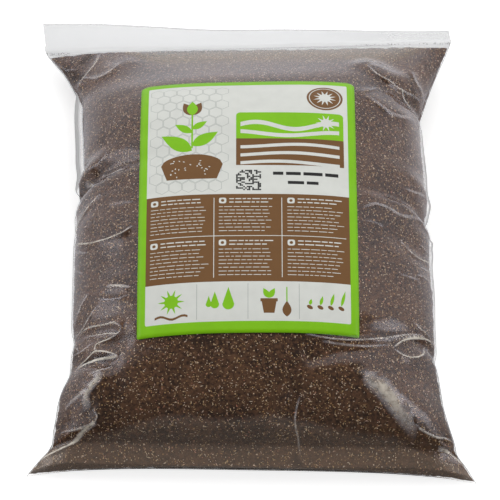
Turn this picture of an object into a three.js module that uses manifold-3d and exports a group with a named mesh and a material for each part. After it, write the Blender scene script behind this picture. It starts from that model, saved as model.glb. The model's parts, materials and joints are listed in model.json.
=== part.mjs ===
// A clear film bag filled with compost, lying on its back with a label on its upper side.
// All sizes are in millimetres. The foot of the bag points to -Y and its header to +Y.
// The bag is one tube of film with a flat weld along each side, a weld at the foot and one at the
// head, and a flat header beyond the head weld. Two film sheets meet in the welds; between them
// lies the filling. A point of a sheet is named by its share of the half width (-1 left weld to
// 1 right weld) and its share of the length (0 foot weld to 1 head weld).
import * as THREE from "three";
import { mergeVertices } from "three/addons/utils/BufferGeometryUtils.js";
import Module from "manifold-3d";

// Film and welds
const FILM = 0.15;
const SIDE_WELD = 5;
const END_WELD = 3;
const HEADER_LENGTH = 21;
const VENT_RADIUS = 1;

// Plan of the filled bag
const BODY_LENGTH = 351;
const FOOT_WIDTH = 300;
const HEAD_WIDTH = 289.5;
const WAIST_LEFT_FOOT = 119;
const WAIST_LEFT_HEAD = 121;
const WAIST_RIGHT_FOOT = 129;
const WAIST_RIGHT_HEAD = 120.5;
const FOOT_SHIFT = 2;
const FOOT_SKEW = 4.5;
const FOOT_BOW = 2;
const HEAD_SKEW = 1.2;
const EAR_LEFT_FOOT = 60;
const EAR_LEFT_HEAD = 48;
const EAR_RIGHT_FOOT = 50;
const EAR_RIGHT_HEAD = 68;
const FOOT_EAR_POWER = 1.5;
const HEAD_EAR_POWER = 1.1;

// Heights of the welds over the floor
const SIDE_WELD_HEIGHT = 32;
const FOOT_TIP_HEIGHT = 3;
const FOOT_WELD_HEIGHT = 21;
const HEAD_LEFT_HEIGHT = 24;
const HEAD_RIGHT_HEIGHT = 37;
const FOOT_WELD_DROP = 95;
const HEAD_WELD_DROP = 80;
const WELD_DROP_POWER = 1.5;
const HEADER_TILT_LEFT = 10;
const HEADER_TILT_MIDDLE = -20;
const HEADER_TILT_RIGHT = -32;

// Upper sheet: a lip beside the foot weld, a steep front, a flat crown and a straight far slope
const CROWN_HEIGHT = 92;
const LIP_LENGTH = 12;
const LIP_RISE = 8;
const FRONT_LENGTH = 165;
const FRONT_POWER = 2.5;
const LIP_ROUNDING = 4;
const HEAD_SLOPE = 0.72;
const CROWN_ROUNDING = 22;
const CROSS_POWER_FOOT = 2.3;
const CROSS_POWER_HEAD = 3.6;
const LIP_CROSS_POWER = 2;
const LIP_CROSS_REACH = 30;

// Under sheet: how far in from each weld it comes down to the floor
const UNDER_SIDE_REACH = 30;
const UNDER_FOOT_REACH = 30;
const UNDER_HEAD_REACH = 60;
// Film that hangs less than this over the floor lies flat on it.
const REST_SAG = 1.5;

// Label
const LABEL_WIDTH = 148;
const LABEL_LENGTH = 210;
const LABEL_THICKNESS = 0.15;
const LABEL_CORNER = 6;
const LABEL_FROM_FOOT = 93;
const LABEL_CLEARANCE = 0.5;

// Filling
const FILLING_CLEARANCE = 0.3;
const FILLING_SEAM_SHARE = 0.25;

// Facets
const ACROSS = 28;
const ALONG = 34;
const EDGE_CROWDING = 0.6;
const HEADER_ROWS = 2;
const LABEL_ACROSS = 12;
const LABEL_ALONG = 26;
const LABEL_CORNER_ROWS = 3;
const VENT_SIDES = 16;

// Folds of the upper sheet: ends as shares of half width and length, rise in mm (below zero for a
// valley) and the distance over which it dies away
const FOLDS = [
  // Ear at the head's left corner, folded down beside a taut crease
  { from: [-0.84, 0.98], to: [-0.93, 0.9], rise: -9, reach: 12 },
  { from: [-0.94, 0.88], to: [-0.66, 0.93], rise: 4, reach: 8 },
  // Two pleats in a V at the head's right corner
  { from: [0.64, 0.88], to: [0.88, 0.82], rise: 6, reach: 8 },
  { from: [0.9, 0.8], to: [0.98, 0.8], rise: -9, reach: 8 },
  { from: [0.9, 0.85], to: [0.95, 0.92], rise: 4, reach: 9 },
  { from: [0.7, 0.75], to: [0.88, 0.73], rise: 3, reach: 7 },
  // Waist, where the film is gathered in
  { from: [-1, 0.585], to: [-0.76, 0.6], rise: -7, reach: 9 },
  { from: [-1, 0.48], to: [-0.72, 0.42], rise: 4, reach: 8 },
  { from: [0.74, 0.46], to: [0.95, 0.57], rise: 3, reach: 8 },
  { from: [0.8, 0.43], to: [1, 0.4], rise: -4, reach: 8 },
  // Two deep tucks over the foot's left corner, and the round swell below them
  { from: [-0.95, 0.23], to: [-0.72, 0.19], rise: -7, reach: 7 },
  { from: [-0.92, 0.165], to: [-0.7, 0.14], rise: -6, reach: 7 },
  { from: [-0.84, 0.11], to: [-0.78, 0.06], rise: 5, reach: 12 },
  // Long fold under the label's right end, and the swell below it
  { from: [0.3, 0.155], to: [0.92, 0.22], rise: -3, reach: 7 },
  { from: [0.66, 0.11], to: [0.84, 0.07], rise: 5, reach: 14 },
  // Pleat beside the foot weld
  { from: [0.25, 0.08], to: [0.22, 0.02], rise: -3, reach: 6 },
];

const lerp = THREE.MathUtils.lerp;
const power = (base, exponent) => Math.max(base, 0) ** exponent;

// Larger of two heights, rounded where they cross.
function roundedMax(a, b, rounding) {
  const near = Math.max(rounding - Math.abs(a - b), 0) / rounding;
  return Math.max(a, b) + (near * near * rounding) / 4;
}

const roundedMin = (a, b, rounding) => -roundedMax(-a, -b, rounding);

// Share from 0 to 1 along a superellipse quarter that starts upright and ends level.
const swell = (share, exponent) =>
  Math.sqrt(Math.max(1 - (1 - THREE.MathUtils.clamp(share, 0, 1)) ** exponent, 0));

// Corners of the welded tube
const FOOT_LEFT = new THREE.Vector3(FOOT_SHIFT - FOOT_WIDTH / 2, FOOT_SKEW, FOOT_TIP_HEIGHT);
const FOOT_RIGHT = new THREE.Vector3(FOOT_SHIFT + FOOT_WIDTH / 2, -FOOT_SKEW, FOOT_TIP_HEIGHT);
const HEAD_LEFT = new THREE.Vector3(-HEAD_WIDTH / 2, BODY_LENGTH + HEAD_SKEW, HEAD_LEFT_HEIGHT);
const HEAD_RIGHT = new THREE.Vector3(HEAD_WIDTH / 2, BODY_LENGTH - HEAD_SKEW, HEAD_RIGHT_HEIGHT);

// Side edge of the tube: a straight waist that runs out to an ear at each end.
function sideEdge(along, side) {
  const fromFoot = along * BODY_LENGTH;
  const fromHead = BODY_LENGTH - fromFoot;
  const waist = lerp(side.waistFoot, side.waistHead, along);
  const footEar = power(1 - fromFoot / side.earFoot, FOOT_EAR_POWER);
  const headEar = power(1 - fromHead / side.earHead, HEAD_EAR_POWER);
  const footOut = Math.abs(side.foot.x) - side.waistFoot;
  const headOut = Math.abs(side.head.x) - side.waistHead;
  const footDrop = power(1 - fromFoot / FOOT_WELD_DROP, WELD_DROP_POWER);
  const headDrop = power(1 - fromHead / HEAD_WELD_DROP, WELD_DROP_POWER);
  return new THREE.Vector3(
    side.sign * (waist + footOut * footEar + headOut * headEar),
    lerp(side.foot.y, side.head.y, along),
    SIDE_WELD_HEIGHT +
      (side.foot.z - SIDE_WELD_HEIGHT) * footDrop +
      (side.head.z - SIDE_WELD_HEIGHT) * headDrop,
  );
}

const LEFT_SIDE = {
  sign: -1,
  foot: FOOT_LEFT,
  head: HEAD_LEFT,
  waistFoot: WAIST_LEFT_FOOT,
  waistHead: WAIST_LEFT_HEAD,
  earFoot: EAR_LEFT_FOOT,
  earHead: EAR_LEFT_HEAD,
};
const RIGHT_SIDE = {
  sign: 1,
  foot: FOOT_RIGHT,
  head: HEAD_RIGHT,
  waistFoot: WAIST_RIGHT_FOOT,
  waistHead: WAIST_RIGHT_HEAD,
  earFoot: EAR_RIGHT_FOOT,
  earHead: EAR_RIGHT_HEAD,
};

// Foot edge: its middle rides higher than the two tips and bows a little outwards.
function footEdge(across) {
  const edge = FOOT_LEFT.clone().lerp(FOOT_RIGHT, (across + 1) / 2);
  edge.y -= FOOT_BOW * (1 - across ** 2);
  edge.z += (FOOT_WELD_HEIGHT - FOOT_TIP_HEIGHT) * (1 - Math.abs(across) ** 3);
  return edge;
}

const headEdge = (across) => HEAD_LEFT.clone().lerp(HEAD_RIGHT, (across + 1) / 2);

// Sheet in which all four welds lie: a Coons patch between the four edges.
function weldSheet(across, along) {
  const share = (across + 1) / 2;
  const ends = footEdge(across).lerp(headEdge(across), along);
  const sides = sideEdge(along, LEFT_SIDE).lerp(sideEdge(along, RIGHT_SIDE), share);
  const footCorner = FOOT_LEFT.clone().lerp(FOOT_RIGHT, share);
  const headCorner = HEAD_LEFT.clone().lerp(HEAD_RIGHT, share);
  return ends.add(sides).sub(footCorner.lerp(headCorner, along));
}

function halfWidth(along) {
  return (sideEdge(along, RIGHT_SIDE).x - sideEdge(along, LEFT_SIDE).x) / 2;
}

// Height of the upper sheet along its middle.
function crownLine(fromFootWeld, fromHeadWeld, across) {
  const lip = FOOT_WELD_HEIGHT + (LIP_RISE * fromFootWeld) / LIP_LENGTH;
  const lipTop = FOOT_WELD_HEIGHT + LIP_RISE;
  const front =
    lipTop + (CROWN_HEIGHT - lipTop) * swell((fromFootWeld - LIP_LENGTH) / FRONT_LENGTH, FRONT_POWER);
  const footHeight = fromFootWeld < LIP_LENGTH ? lip : roundedMax(lipTop, front, LIP_ROUNDING);
  const headHeight = headEdge(across).z + HEAD_SLOPE * fromHeadWeld;
  return roundedMin(footHeight, headHeight, CROWN_ROUNDING);
}

// Share of the half width that the filled part takes: it stops at the side welds.
const filledShare = (along) => 1 - SIDE_WELD / halfWidth(along);

// Share of the length at a given share of the filled length, which stops at the end welds.
const filledAlong = (share) => lerp(END_WELD, BODY_LENGTH - END_WELD, share) / BODY_LENGTH;

const FOLD_LINES = FOLDS.map((fold) => {
  const start = weldSheet(fold.from[0], fold.from[1]).setZ(0);
  const end = weldSheet(fold.to[0], fold.to[1]).setZ(0);
  return { line: new THREE.Line3(start, end), rise: fold.rise, reach: fold.reach };
});

// Sum of all folds at a plan point: each dies away as a bell curve from its line.
function foldHeight(point) {
  const onFloor = point.clone().setZ(0);
  const nearest = new THREE.Vector3();
  let height = 0;
  for (const { line, rise, reach } of FOLD_LINES) {
    line.closestPointToPoint(onFloor, true, nearest);
    height += rise * Math.exp(-((nearest.distanceTo(onFloor) / reach) ** 2));
  }
  return height;
}

// Point of the weld sheet with how far the upper sheet stands over it and the under sheet below it.
// inAcross runs from -1 to 1 between the side welds, along from foot to head.
function filledPoint(inAcross, along) {
  const across = inAcross * filledShare(along);
  const point = weldSheet(across, along);
  const fromSide = (1 - Math.abs(inAcross)) * filledShare(along) * halfWidth(along);
  const fromFoot = Math.max(along * BODY_LENGTH - END_WELD, 0);
  const fromHead = Math.max((1 - along) * BODY_LENGTH - END_WELD, 0);
  const crossPower =
    lerp(CROSS_POWER_FOOT, CROSS_POWER_HEAD, THREE.MathUtils.smoothstep(along, 0, 1)) +
    LIP_CROSS_POWER * Math.exp(-((fromFoot / LIP_CROSS_REACH) ** 2));
  const side = swell(1 - Math.abs(inAcross), crossPower);
  const crown = Math.max(crownLine(fromFoot, fromHead, across) - point.z, 0) * side;
  const foldShare = Math.min(crown / (CROWN_HEIGHT / 4), 1);
  const under =
    swell(fromSide / UNDER_SIDE_REACH, 2) *
    swell(fromFoot / UNDER_FOOT_REACH, 2) *
    swell(fromHead / UNDER_HEAD_REACH, 2);
  return { point, up: crown + foldShare * foldHeight(point), down: point.z * under };
}

// Shares from 0 to 1 that lie closer together towards both ends.
function crowded(count) {
  return Array.from({ length: count + 1 }, (_, i) => {
    const even = i / count;
    const eased = (1 - Math.cos(even * Math.PI)) / 2;
    return lerp(even, eased, EDGE_CROWDING);
  });
}

const inAcrossStations = crowded(ACROSS).map((share) => 2 * share - 1);
const alongStations = crowded(ALONG).map(filledAlong);

// Grids of the filled part: the two outer skins of the film, and the sheet between them.
const filledGrid = alongStations.map((along) => inAcrossStations.map((s) => filledPoint(s, along)));
const upperSkin = filledGrid.map((row) =>
  row.map(({ point, up }) => new THREE.Vector3(point.x, point.y, point.z + FILM + up)),
);
const underSkin = filledGrid.map((row) =>
  row.map(({ point, down }) => {
    const height = (point.z - FILM) * (1 - down / point.z);
    return new THREE.Vector3(point.x, point.y, height < REST_SAG ? 0 : height);
  }),
);

// Unit normal of a grid of points at one inner place, facing up.
function gridNormal(grid, row, column) {
  const across = grid[row][column + 1].clone().sub(grid[row][column - 1]);
  const along = grid[row + 1][column].clone().sub(grid[row - 1][column]);
  return across.cross(along).normalize();
}

// The two skins moved inwards by a depth, with the border row and column left out.
function insetSkins(depth) {
  const inset = (grid, sign) =>
    grid.map((row, j) =>
      row.map((point, i) => {
        const border = j === 0 || i === 0 || j === grid.length - 1 || i === row.length - 1;
        return border ? null : point.clone().addScaledVector(gridNormal(grid, j, i), sign * depth);
      }),
    );
  return { upper: inset(upperSkin, -1), under: inset(underSkin, 1) };
}

// Fills the border of two inset skins with one shared rim: the given share of the way from the
// weld line to the middle between the skins' next points.
function addRim(skins, share) {
  const rows = skins.upper.length;
  const columns = skins.upper[0].length;
  for (let j = 0; j < rows; j++) {
    for (let i = 0; i < columns; i++) {
      if (skins.upper[j][i]) continue;
      const nextRow = THREE.MathUtils.clamp(j, 1, rows - 2);
      const nextColumn = THREE.MathUtils.clamp(i, 1, columns - 2);
      const upper = skins.upper[nextRow][nextColumn];
      const middle = upper.clone().lerp(skins.under[nextRow][nextColumn], 0.5);
      skins.under[j][i] = filledGrid[j][i].point.clone().lerp(middle, share);
    }
  }
  skins.upper.forEach((row, j) => {
    row.forEach((point, i) => {
      row[i] = point ?? skins.under[j][i];
    });
  });
  return skins;
}

// Closed solid between two grids of points. Where both grids share their border points, the
// solid ends there in an edge; elsewhere a wall joins them.
function solidBetween(upper, under) {
  const rows = upper.length;
  const columns = upper[0].length;
  const positions = [...upper.flat(), ...under.flat()].flatMap((point) => point.toArray());
  const top = (j, i) => j * columns + i;
  const bottom = (j, i) => rows * columns + j * columns + i;
  const faces = [];
  const quad = (a, b, c, d) => faces.push(a, b, c, a, c, d);
  for (let j = 0; j < rows - 1; j++) {
    for (let i = 0; i < columns - 1; i++) {
      quad(top(j, i), top(j, i + 1), top(j + 1, i + 1), top(j + 1, i));
      quad(bottom(j, i), bottom(j + 1, i), bottom(j + 1, i + 1), bottom(j, i + 1));
    }
  }
  const wall = (a, b) => quad(bottom(...a), bottom(...b), top(...b), top(...a));
  const shared = upper[0][0].distanceTo(under[0][0]) === 0;
  if (!shared) {
    for (let i = 0; i < columns - 1; i++) {
      wall([0, i], [0, i + 1]);
      wall([rows - 1, i + 1], [rows - 1, i]);
    }
    for (let j = 0; j < rows - 1; j++) {
      wall([j + 1, 0], [j, 0]);
      wall([j, columns - 1], [j + 1, columns - 1]);
    }
  }
  const geometry = new THREE.BufferGeometry();
  geometry.setAttribute("position", new THREE.Float32BufferAttribute(positions, 3));
  geometry.setIndex(faces);
  return geometry;
}

// Film sheet with its welds and header round the filled part.
function withWelds(skin, lift) {
  const flat = (point) => point.clone().add(new THREE.Vector3(0, 0, lift));
  const rowWithSides = (row, along) => [
    flat(sideEdge(along, LEFT_SIDE)),
    ...row,
    flat(sideEdge(along, RIGHT_SIDE)),
  ];
  const edgeStations = [-1, ...inAcrossStations, 1];
  const stationAcross = (s, i, along) =>
    i === 0 || i === edgeStations.length - 1 ? s : s * filledShare(along);
  const footRow = edgeStations.map((s, i) => flat(footEdge(stationAcross(s, i, 0))));
  const headRows = Array.from({ length: HEADER_ROWS + 1 }, (_, k) =>
    edgeStations.map((s, i) => {
      const across = stationAcross(s, i, 1);
      return flat(headerPoint(across, (k / HEADER_ROWS) * HEADER_LENGTH));
    }),
  );
  const body = skin.map((row, j) => rowWithSides(row, alongStations[j]));
  return [footRow, ...body, ...headRows];
}

// Header beyond the head weld: it stands up a little at the left and droops at the right.
function headerPoint(across, beyond) {
  const toMiddle = lerp(HEADER_TILT_LEFT, HEADER_TILT_MIDDLE, THREE.MathUtils.smoothstep(across, -1, 0));
  const toRight = (HEADER_TILT_RIGHT - HEADER_TILT_MIDDLE) * THREE.MathUtils.smoothstep(across, 0, 1);
  const tilt = THREE.MathUtils.degToRad(toMiddle + toRight);
  const away = new THREE.Vector3(0, Math.cos(tilt), Math.sin(tilt));
  return headEdge(across).addScaledVector(away, beyond);
}

const wasm = await Module();
wasm.setup();

// Closed geometry as a solid that can be cut.
function toSolid(geometry) {
  const bare = geometry.clone();
  bare.deleteAttribute("normal");
  bare.deleteAttribute("uv");
  const merged = mergeVertices(bare);
  const vertProperties = merged.getAttribute("position").array;
  const triVerts = new Uint32Array(merged.getIndex().array);
  return new wasm.Manifold(new wasm.Mesh({ numProp: 3, vertProperties, triVerts }));
}

function toGeometry(solid) {
  const { vertProperties, triVerts } = solid.getMesh();
  const geometry = new THREE.BufferGeometry();
  geometry.setAttribute("position", new THREE.BufferAttribute(vertProperties, 3));
  geometry.setIndex(new THREE.BufferAttribute(triVerts, 1));
  return geometry;
}

// Vent through the under sheet at mid length, halfway between the middle and one side.
function ventGeometry(side) {
  const row = Math.round(ALONG / 2);
  const place = underSkin[row][Math.round((ACROSS * (2 + side)) / 4)];
  const depth = 2 * (FILM + FILLING_CLEARANCE / 2);
  const vent = new THREE.CylinderGeometry(VENT_RADIUS, VENT_RADIUS, depth, VENT_SIDES);
  vent.rotateX(Math.PI / 2);
  return vent.translate(place.x, place.y, place.z);
}

function bagGeometry() {
  const outside = solidBetween(withWelds(upperSkin, FILM), withWelds(underSkin, -FILM));
  const room = addRim(insetSkins(FILM), 0);
  let film = toSolid(outside).subtract(toSolid(solidBetween(room.upper, room.under)));
  for (const side of [-1, 1]) {
    film = film.subtract(toSolid(ventGeometry(side)));
  }
  return toGeometry(film);
}

function fillingGeometry() {
  const skins = addRim(insetSkins(FILM + FILLING_CLEARANCE), FILLING_SEAM_SHARE);
  return solidBetween(skins.upper, skins.under);
}

// Height of the film's upper skin over a plan point, found by stepping to its shares.
function skinHeight(x, y) {
  let along = y / BODY_LENGTH;
  let inAcross = x / halfWidth(along);
  let found = filledPoint(inAcross, along);
  for (let step = 0; step < 8; step++) {
    along += (y - found.point.y) / BODY_LENGTH;
    inAcross += (x - found.point.x) / (halfWidth(along) * filledShare(along));
    found = filledPoint(inAcross, along);
  }
  return found.point.z + FILM + found.up;
}

// Plan coordinate at a length measured along a line over the skin.
function measuredAlong(lineStart, lineEnd, height) {
  const steps = 400;
  const line = [0];
  const at = (k) => lerp(lineStart, lineEnd, k / steps);
  for (let k = 1; k <= steps; k++) {
    line.push(line[k - 1] + Math.hypot(at(k) - at(k - 1), height(at(k)) - height(at(k - 1))));
  }
  return (length) => {
    const k = Math.max(line.findIndex((done) => done >= length), 1);
    return lerp(at(k - 1), at(k), (length - line[k - 1]) / (line[k] - line[k - 1]));
  };
}

// Label: a flat sheet with round corners laid over the crown.
function labelGeometry() {
  const alongMiddle = measuredAlong(0, BODY_LENGTH - END_WELD, (y) => skinHeight(0, y));
  const middleY = alongMiddle(LABEL_FROM_FOOT + LABEL_LENGTH / 2);
  const outwards = measuredAlong(0, halfWidth(0.5) * filledShare(0.5), (x) => skinHeight(x, middleY));
  const rowPlaces = labelRows();
  const sheet = (lift) =>
    rowPlaces.map((fromEnd) => {
      const inCorner = Math.max(LABEL_CORNER - Math.min(fromEnd, LABEL_LENGTH - fromEnd), 0);
      const cut = LABEL_CORNER - Math.sqrt(LABEL_CORNER ** 2 - inCorner ** 2);
      const y = alongMiddle(LABEL_FROM_FOOT + fromEnd);
      return Array.from({ length: LABEL_ACROSS + 1 }, (_, i) => {
        const fromMiddle = ((2 * i) / LABEL_ACROSS - 1) * (LABEL_WIDTH / 2 - cut);
        const x = Math.sign(fromMiddle) * outwards(Math.abs(fromMiddle));
        return new THREE.Vector3(x, y, skinHeight(x, y) + LABEL_CLEARANCE + lift);
      });
    });
  return solidBetween(sheet(LABEL_THICKNESS), sheet(0));
}

// Distances of the label's rows from its foot end: close together in its round corners.
function labelRows() {
  const corner = Array.from({ length: LABEL_CORNER_ROWS + 1 }, (_, k) => {
    return LABEL_CORNER * (1 - Math.cos((k / LABEL_CORNER_ROWS) * (Math.PI / 2)));
  });
  const straight = LABEL_LENGTH - 2 * LABEL_CORNER;
  const between = Array.from({ length: LABEL_ALONG - 1 }, (_, k) => {
    return LABEL_CORNER + ((k + 1) / LABEL_ALONG) * straight;
  });
  return [...corner, ...between, ...corner.map((place) => LABEL_LENGTH - place).reverse()];
}

const filmMaterial = new THREE.MeshStandardMaterial({
  color: 0xe2e3e5,
  roughness: 0.18,
  metalness: 0,
  transparent: true,
  opacity: 0.35,
});
const compostMaterial = new THREE.MeshStandardMaterial({ color: 0x4b3a30, roughness: 0.95, metalness: 0 });
const labelMaterial = new THREE.MeshStandardMaterial({ color: 0x79b50e, roughness: 0.45, metalness: 0 });

function piece(name, geometry, material) {
  geometry.computeVertexNormals();
  const mesh = new THREE.Mesh(geometry, material);
  mesh.name = name;
  return mesh;
}

const bag = new THREE.Group();
bag.add(piece("film_bag", bagGeometry(), filmMaterial));
bag.add(piece("compost", fillingGeometry(), compostMaterial));
bag.add(piece("label", labelGeometry(), labelMaterial));

// The origin lies under the middle of the whole bag, on the floor.
const extent = new THREE.Box3().setFromObject(bag);
const middle = extent.getCenter(new THREE.Vector3());
bag.position.set(-middle.x, -middle.y, -extent.min.z);

export default bag;
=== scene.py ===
"""Looks of a clear film bag of compost that lies on its back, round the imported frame.

Lengths are in metres, in the frame's own axes: the foot weld to -Y, the header to +Y, +Z up.
A point of a film sheet is named by its share of the half width (-1 left weld to 1 right weld) and
its share of the length (0 foot weld to 1 head weld).
"""

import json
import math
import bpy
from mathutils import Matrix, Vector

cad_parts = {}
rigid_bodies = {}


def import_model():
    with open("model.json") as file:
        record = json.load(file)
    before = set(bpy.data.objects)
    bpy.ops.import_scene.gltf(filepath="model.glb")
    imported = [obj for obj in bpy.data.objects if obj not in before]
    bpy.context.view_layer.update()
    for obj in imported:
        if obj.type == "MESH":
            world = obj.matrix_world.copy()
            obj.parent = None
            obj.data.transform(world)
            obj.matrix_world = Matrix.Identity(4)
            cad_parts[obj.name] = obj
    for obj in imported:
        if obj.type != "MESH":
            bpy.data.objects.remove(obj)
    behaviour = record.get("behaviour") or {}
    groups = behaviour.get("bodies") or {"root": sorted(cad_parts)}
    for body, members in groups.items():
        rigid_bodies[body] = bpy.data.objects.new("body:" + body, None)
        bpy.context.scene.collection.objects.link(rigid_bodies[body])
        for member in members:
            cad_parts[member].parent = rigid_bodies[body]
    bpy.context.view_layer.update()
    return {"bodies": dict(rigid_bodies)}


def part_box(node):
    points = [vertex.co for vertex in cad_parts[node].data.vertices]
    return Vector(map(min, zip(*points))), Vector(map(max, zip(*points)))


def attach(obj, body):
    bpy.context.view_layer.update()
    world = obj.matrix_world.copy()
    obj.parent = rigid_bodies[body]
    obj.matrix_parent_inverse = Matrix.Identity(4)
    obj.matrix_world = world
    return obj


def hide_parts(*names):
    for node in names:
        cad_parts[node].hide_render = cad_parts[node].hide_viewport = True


bl_info = {
    "name": "Bag of Compost",
    "version": (1, 0, 0),
    "blender": (4, 5, 0),
    "location": "View3D > Sidebar > Bag",
    "description": "Builds a filled clear film bag with its filling, fibres and printed label",
    "category": "Add Mesh",
}

import bpy
import numpy as np
from mathutils import Vector
from mathutils.geometry import delaunay_2d_cdt

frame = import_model()
BODY = next(iter(frame["bodies"]))
MM = 0.001


class BagSizes(bpy.types.PropertyGroup):
    """Sizes of the filled bag."""

    body_length: bpy.props.FloatProperty(
        name="Body length", description="Plan length from weld to weld", default=0.351, unit="LENGTH"
    )
    header_length: bpy.props.FloatProperty(
        name="Header length", description="Flat strip beyond the head weld", default=0.021, unit="LENGTH"
    )
    crown_height: bpy.props.FloatProperty(
        name="Crown height", description="Highest point of the upper side", default=0.092, unit="LENGTH"
    )
    side_weld: bpy.props.FloatProperty(
        name="Side weld", description="Width of the flat weld along each side", default=0.005, unit="LENGTH"
    )
    label_width: bpy.props.FloatProperty(
        name="Label width", description="Width of the label sheet", default=0.148, unit="LENGTH"
    )
    label_length: bpy.props.FloatProperty(
        name="Label length", description="Length of the label sheet", default=0.2145, unit="LENGTH"
    )
    fibres: bpy.props.IntProperty(
        name="Fibres", description="Light fibres that lie against the film", default=15000, min=0
    )


class BagColours(bpy.types.PropertyGroup):
    """Colours of the filling and the print."""

    compost: bpy.props.FloatVectorProperty(
        name="Compost", description="Colour of the filling", subtype="COLOR", default=(0.078, 0.0375, 0.0185)
    )
    green: bpy.props.FloatVectorProperty(
        name="Green print", description="Border and leaves", subtype="COLOR", default=(0.19, 0.47, 0.006)
    )
    brown: bpy.props.FloatVectorProperty(
        name="Brown print", description="Panels and soil", subtype="COLOR", default=(0.15, 0.07, 0.022)
    )
    paper: bpy.props.FloatVectorProperty(
        name="Paper", description="Unprinted label", subtype="COLOR", default=(0.61, 0.62, 0.585)
    )


# Plan and heights of the welds: a pair is (foot end, head end), but HEAD_HEIGHT is (left, right),
# and HEADER_TILT is in degrees at the left, the middle and the right
FOOT_HALF = 0.150
FOOT_SHIFT = 0.002
FOOT_SKEW = 0.0045
LEFT_TIP_DROP = 0.003
FOOT_BOW = 0.002
HEAD_HALF = 0.14475
HEAD_SKEW = 0.0012
WAIST = {"left": (0.119, 0.121), "right": (0.129, 0.1205)}
EAR = {"left": (0.060, 0.048), "right": (0.050, 0.068)}
EAR_POWER = (1.5, 1.1)
SIDE_WELD_HEIGHT = 0.032
FOOT_TIP_HEIGHT = 0.003
FOOT_WELD_HEIGHT = 0.021
HEAD_HEIGHT = (0.024, 0.037)
WELD_DROP = (0.095, 0.080)
WELD_DROP_POWER = 1.5
END_WELD = 0.003
FOOT_WELD = 0.0006
HEADER_TILT = (10, -20, -32)
HEADER_FLARE = 0.13

# Notches (above zero) and bulges of the side outlines: (share of the length, depth, reach) in mm
NOTCHES = {
    "left": (
        (0.975, -2.6, 9), (0.81, -1.7, 24), (0.650, 1.2, 8), (0.582, 8.2, 6.8), (0.515, 0.9, 9),
        (0.243, 2.0, 7), (0.132, -4.3, 12), (0.045, 5.2, 9),
    ),
    "right": (
        (0.97, -1.4, 16), (0.795, 1.6, 4), (0.66, -1.3, 25), (0.59, -2.2, 8), (0.527, 4.2, 6),
        (0.503, -2.2, 4), (0.475, -1.7, 9), (0.39, -1.3, 26), (0.218, 2.0, 5), (0.125, -2.9, 20),
        (0.045, 2.2, 5),
    ),
}

# Upper and under sheet: CROSS_POWER is for the foot and the head end, LIP_CROSS is what the lip adds
# and how far, and UNDER_REACH is from the sides, the foot and the head
LIP_LENGTH = 0.012
LIP_RISE = 0.008
FRONT_LENGTH = 0.165
FRONT_POWER = 2.5
LIP_ROUNDING = 0.004
HEAD_SLOPE = 0.72
CROWN_ROUNDING = 0.022
CROSS_POWER = (2.3, 3.6)
LIP_CROSS = (2.0, 0.030)
# Ripples that run up from the foot weld: rise, cell across and reach
RIPPLE = (0.0035, 0.013, 0.030)
UNDER_REACH = (0.030, 0.030, 0.060)
REST_SAG = 0.0015
FILM = 0.00015

# Label's place, measured over the skin. The film under it has no creases: in plan this field is
# shorter than the label by twice LABEL_SINK, for the film's slope, and narrower by CALM_OVERLAP
LABEL_CORNER = 0.006
LABEL_FROM_FOOT = 0.0905
LABEL_CLEARANCE = 0.0005
LABEL_SINK = 0.012
CALM_OVERLAP = 0.001
CALM_FADE = 0.004


def sizes():
    """The bag's sizes, as the user set them."""
    return bpy.context.scene.bag_sizes


def colours():
    """The bag's colours, as the user set them."""
    return bpy.context.scene.bag_colours


# Shape of the bag

def lerp(a, b, share):
    """From a to b in a straight line."""
    return a + (b - a) * share


def smooth(share):
    """3 s^2 - 2 s^3 with s held between 0 and 1."""
    s = np.clip(share, 0, 1)
    return s * s * (3 - 2 * s)


def rounded_max(a, b, rounding):
    """max(a, b) + k^2 r / 4 with k = max(r - |a - b|, 0) / r."""
    near = np.maximum(rounding - np.abs(a - b), 0) / rounding
    return np.maximum(a, b) + near * near * rounding / 4


def swell(share, exponent):
    """sqrt(1 - (1 - s)^n): a superellipse quarter that starts upright and ends level."""
    s = np.clip(share, 0, 1)
    return np.sqrt(np.maximum(1 - (1 - s) ** exponent, 0))


def grow(base, exponent):
    """Power of a base held above zero."""
    return np.maximum(base, 0) ** exponent


def foot_corner(sign):
    """Tip of the foot weld: half the weld aside, turned by the skew, and the left one further out."""
    drop = LEFT_TIP_DROP if sign < 0 else 0.0
    return np.array([FOOT_SHIFT + sign * FOOT_HALF, -sign * FOOT_SKEW - drop, FOOT_TIP_HEIGHT])


def head_corner(sign):
    """End of the head weld: half the weld aside, turned by the skew, at its side's height."""
    height = HEAD_HEIGHT[0] if sign < 0 else HEAD_HEIGHT[1]
    return np.array([sign * HEAD_HALF, sizes().body_length - sign * HEAD_SKEW, height])


def notch_depth(along, name):
    """Sum over a side's notches of depth exp(-(d / reach)^2) along the weld."""
    length = sizes().body_length
    return sum(
        depth * MM * np.exp(-(((along - place) * length / (reach * MM)) ** 2))
        for place, depth, reach in NOTCHES[name]
    )


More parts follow.
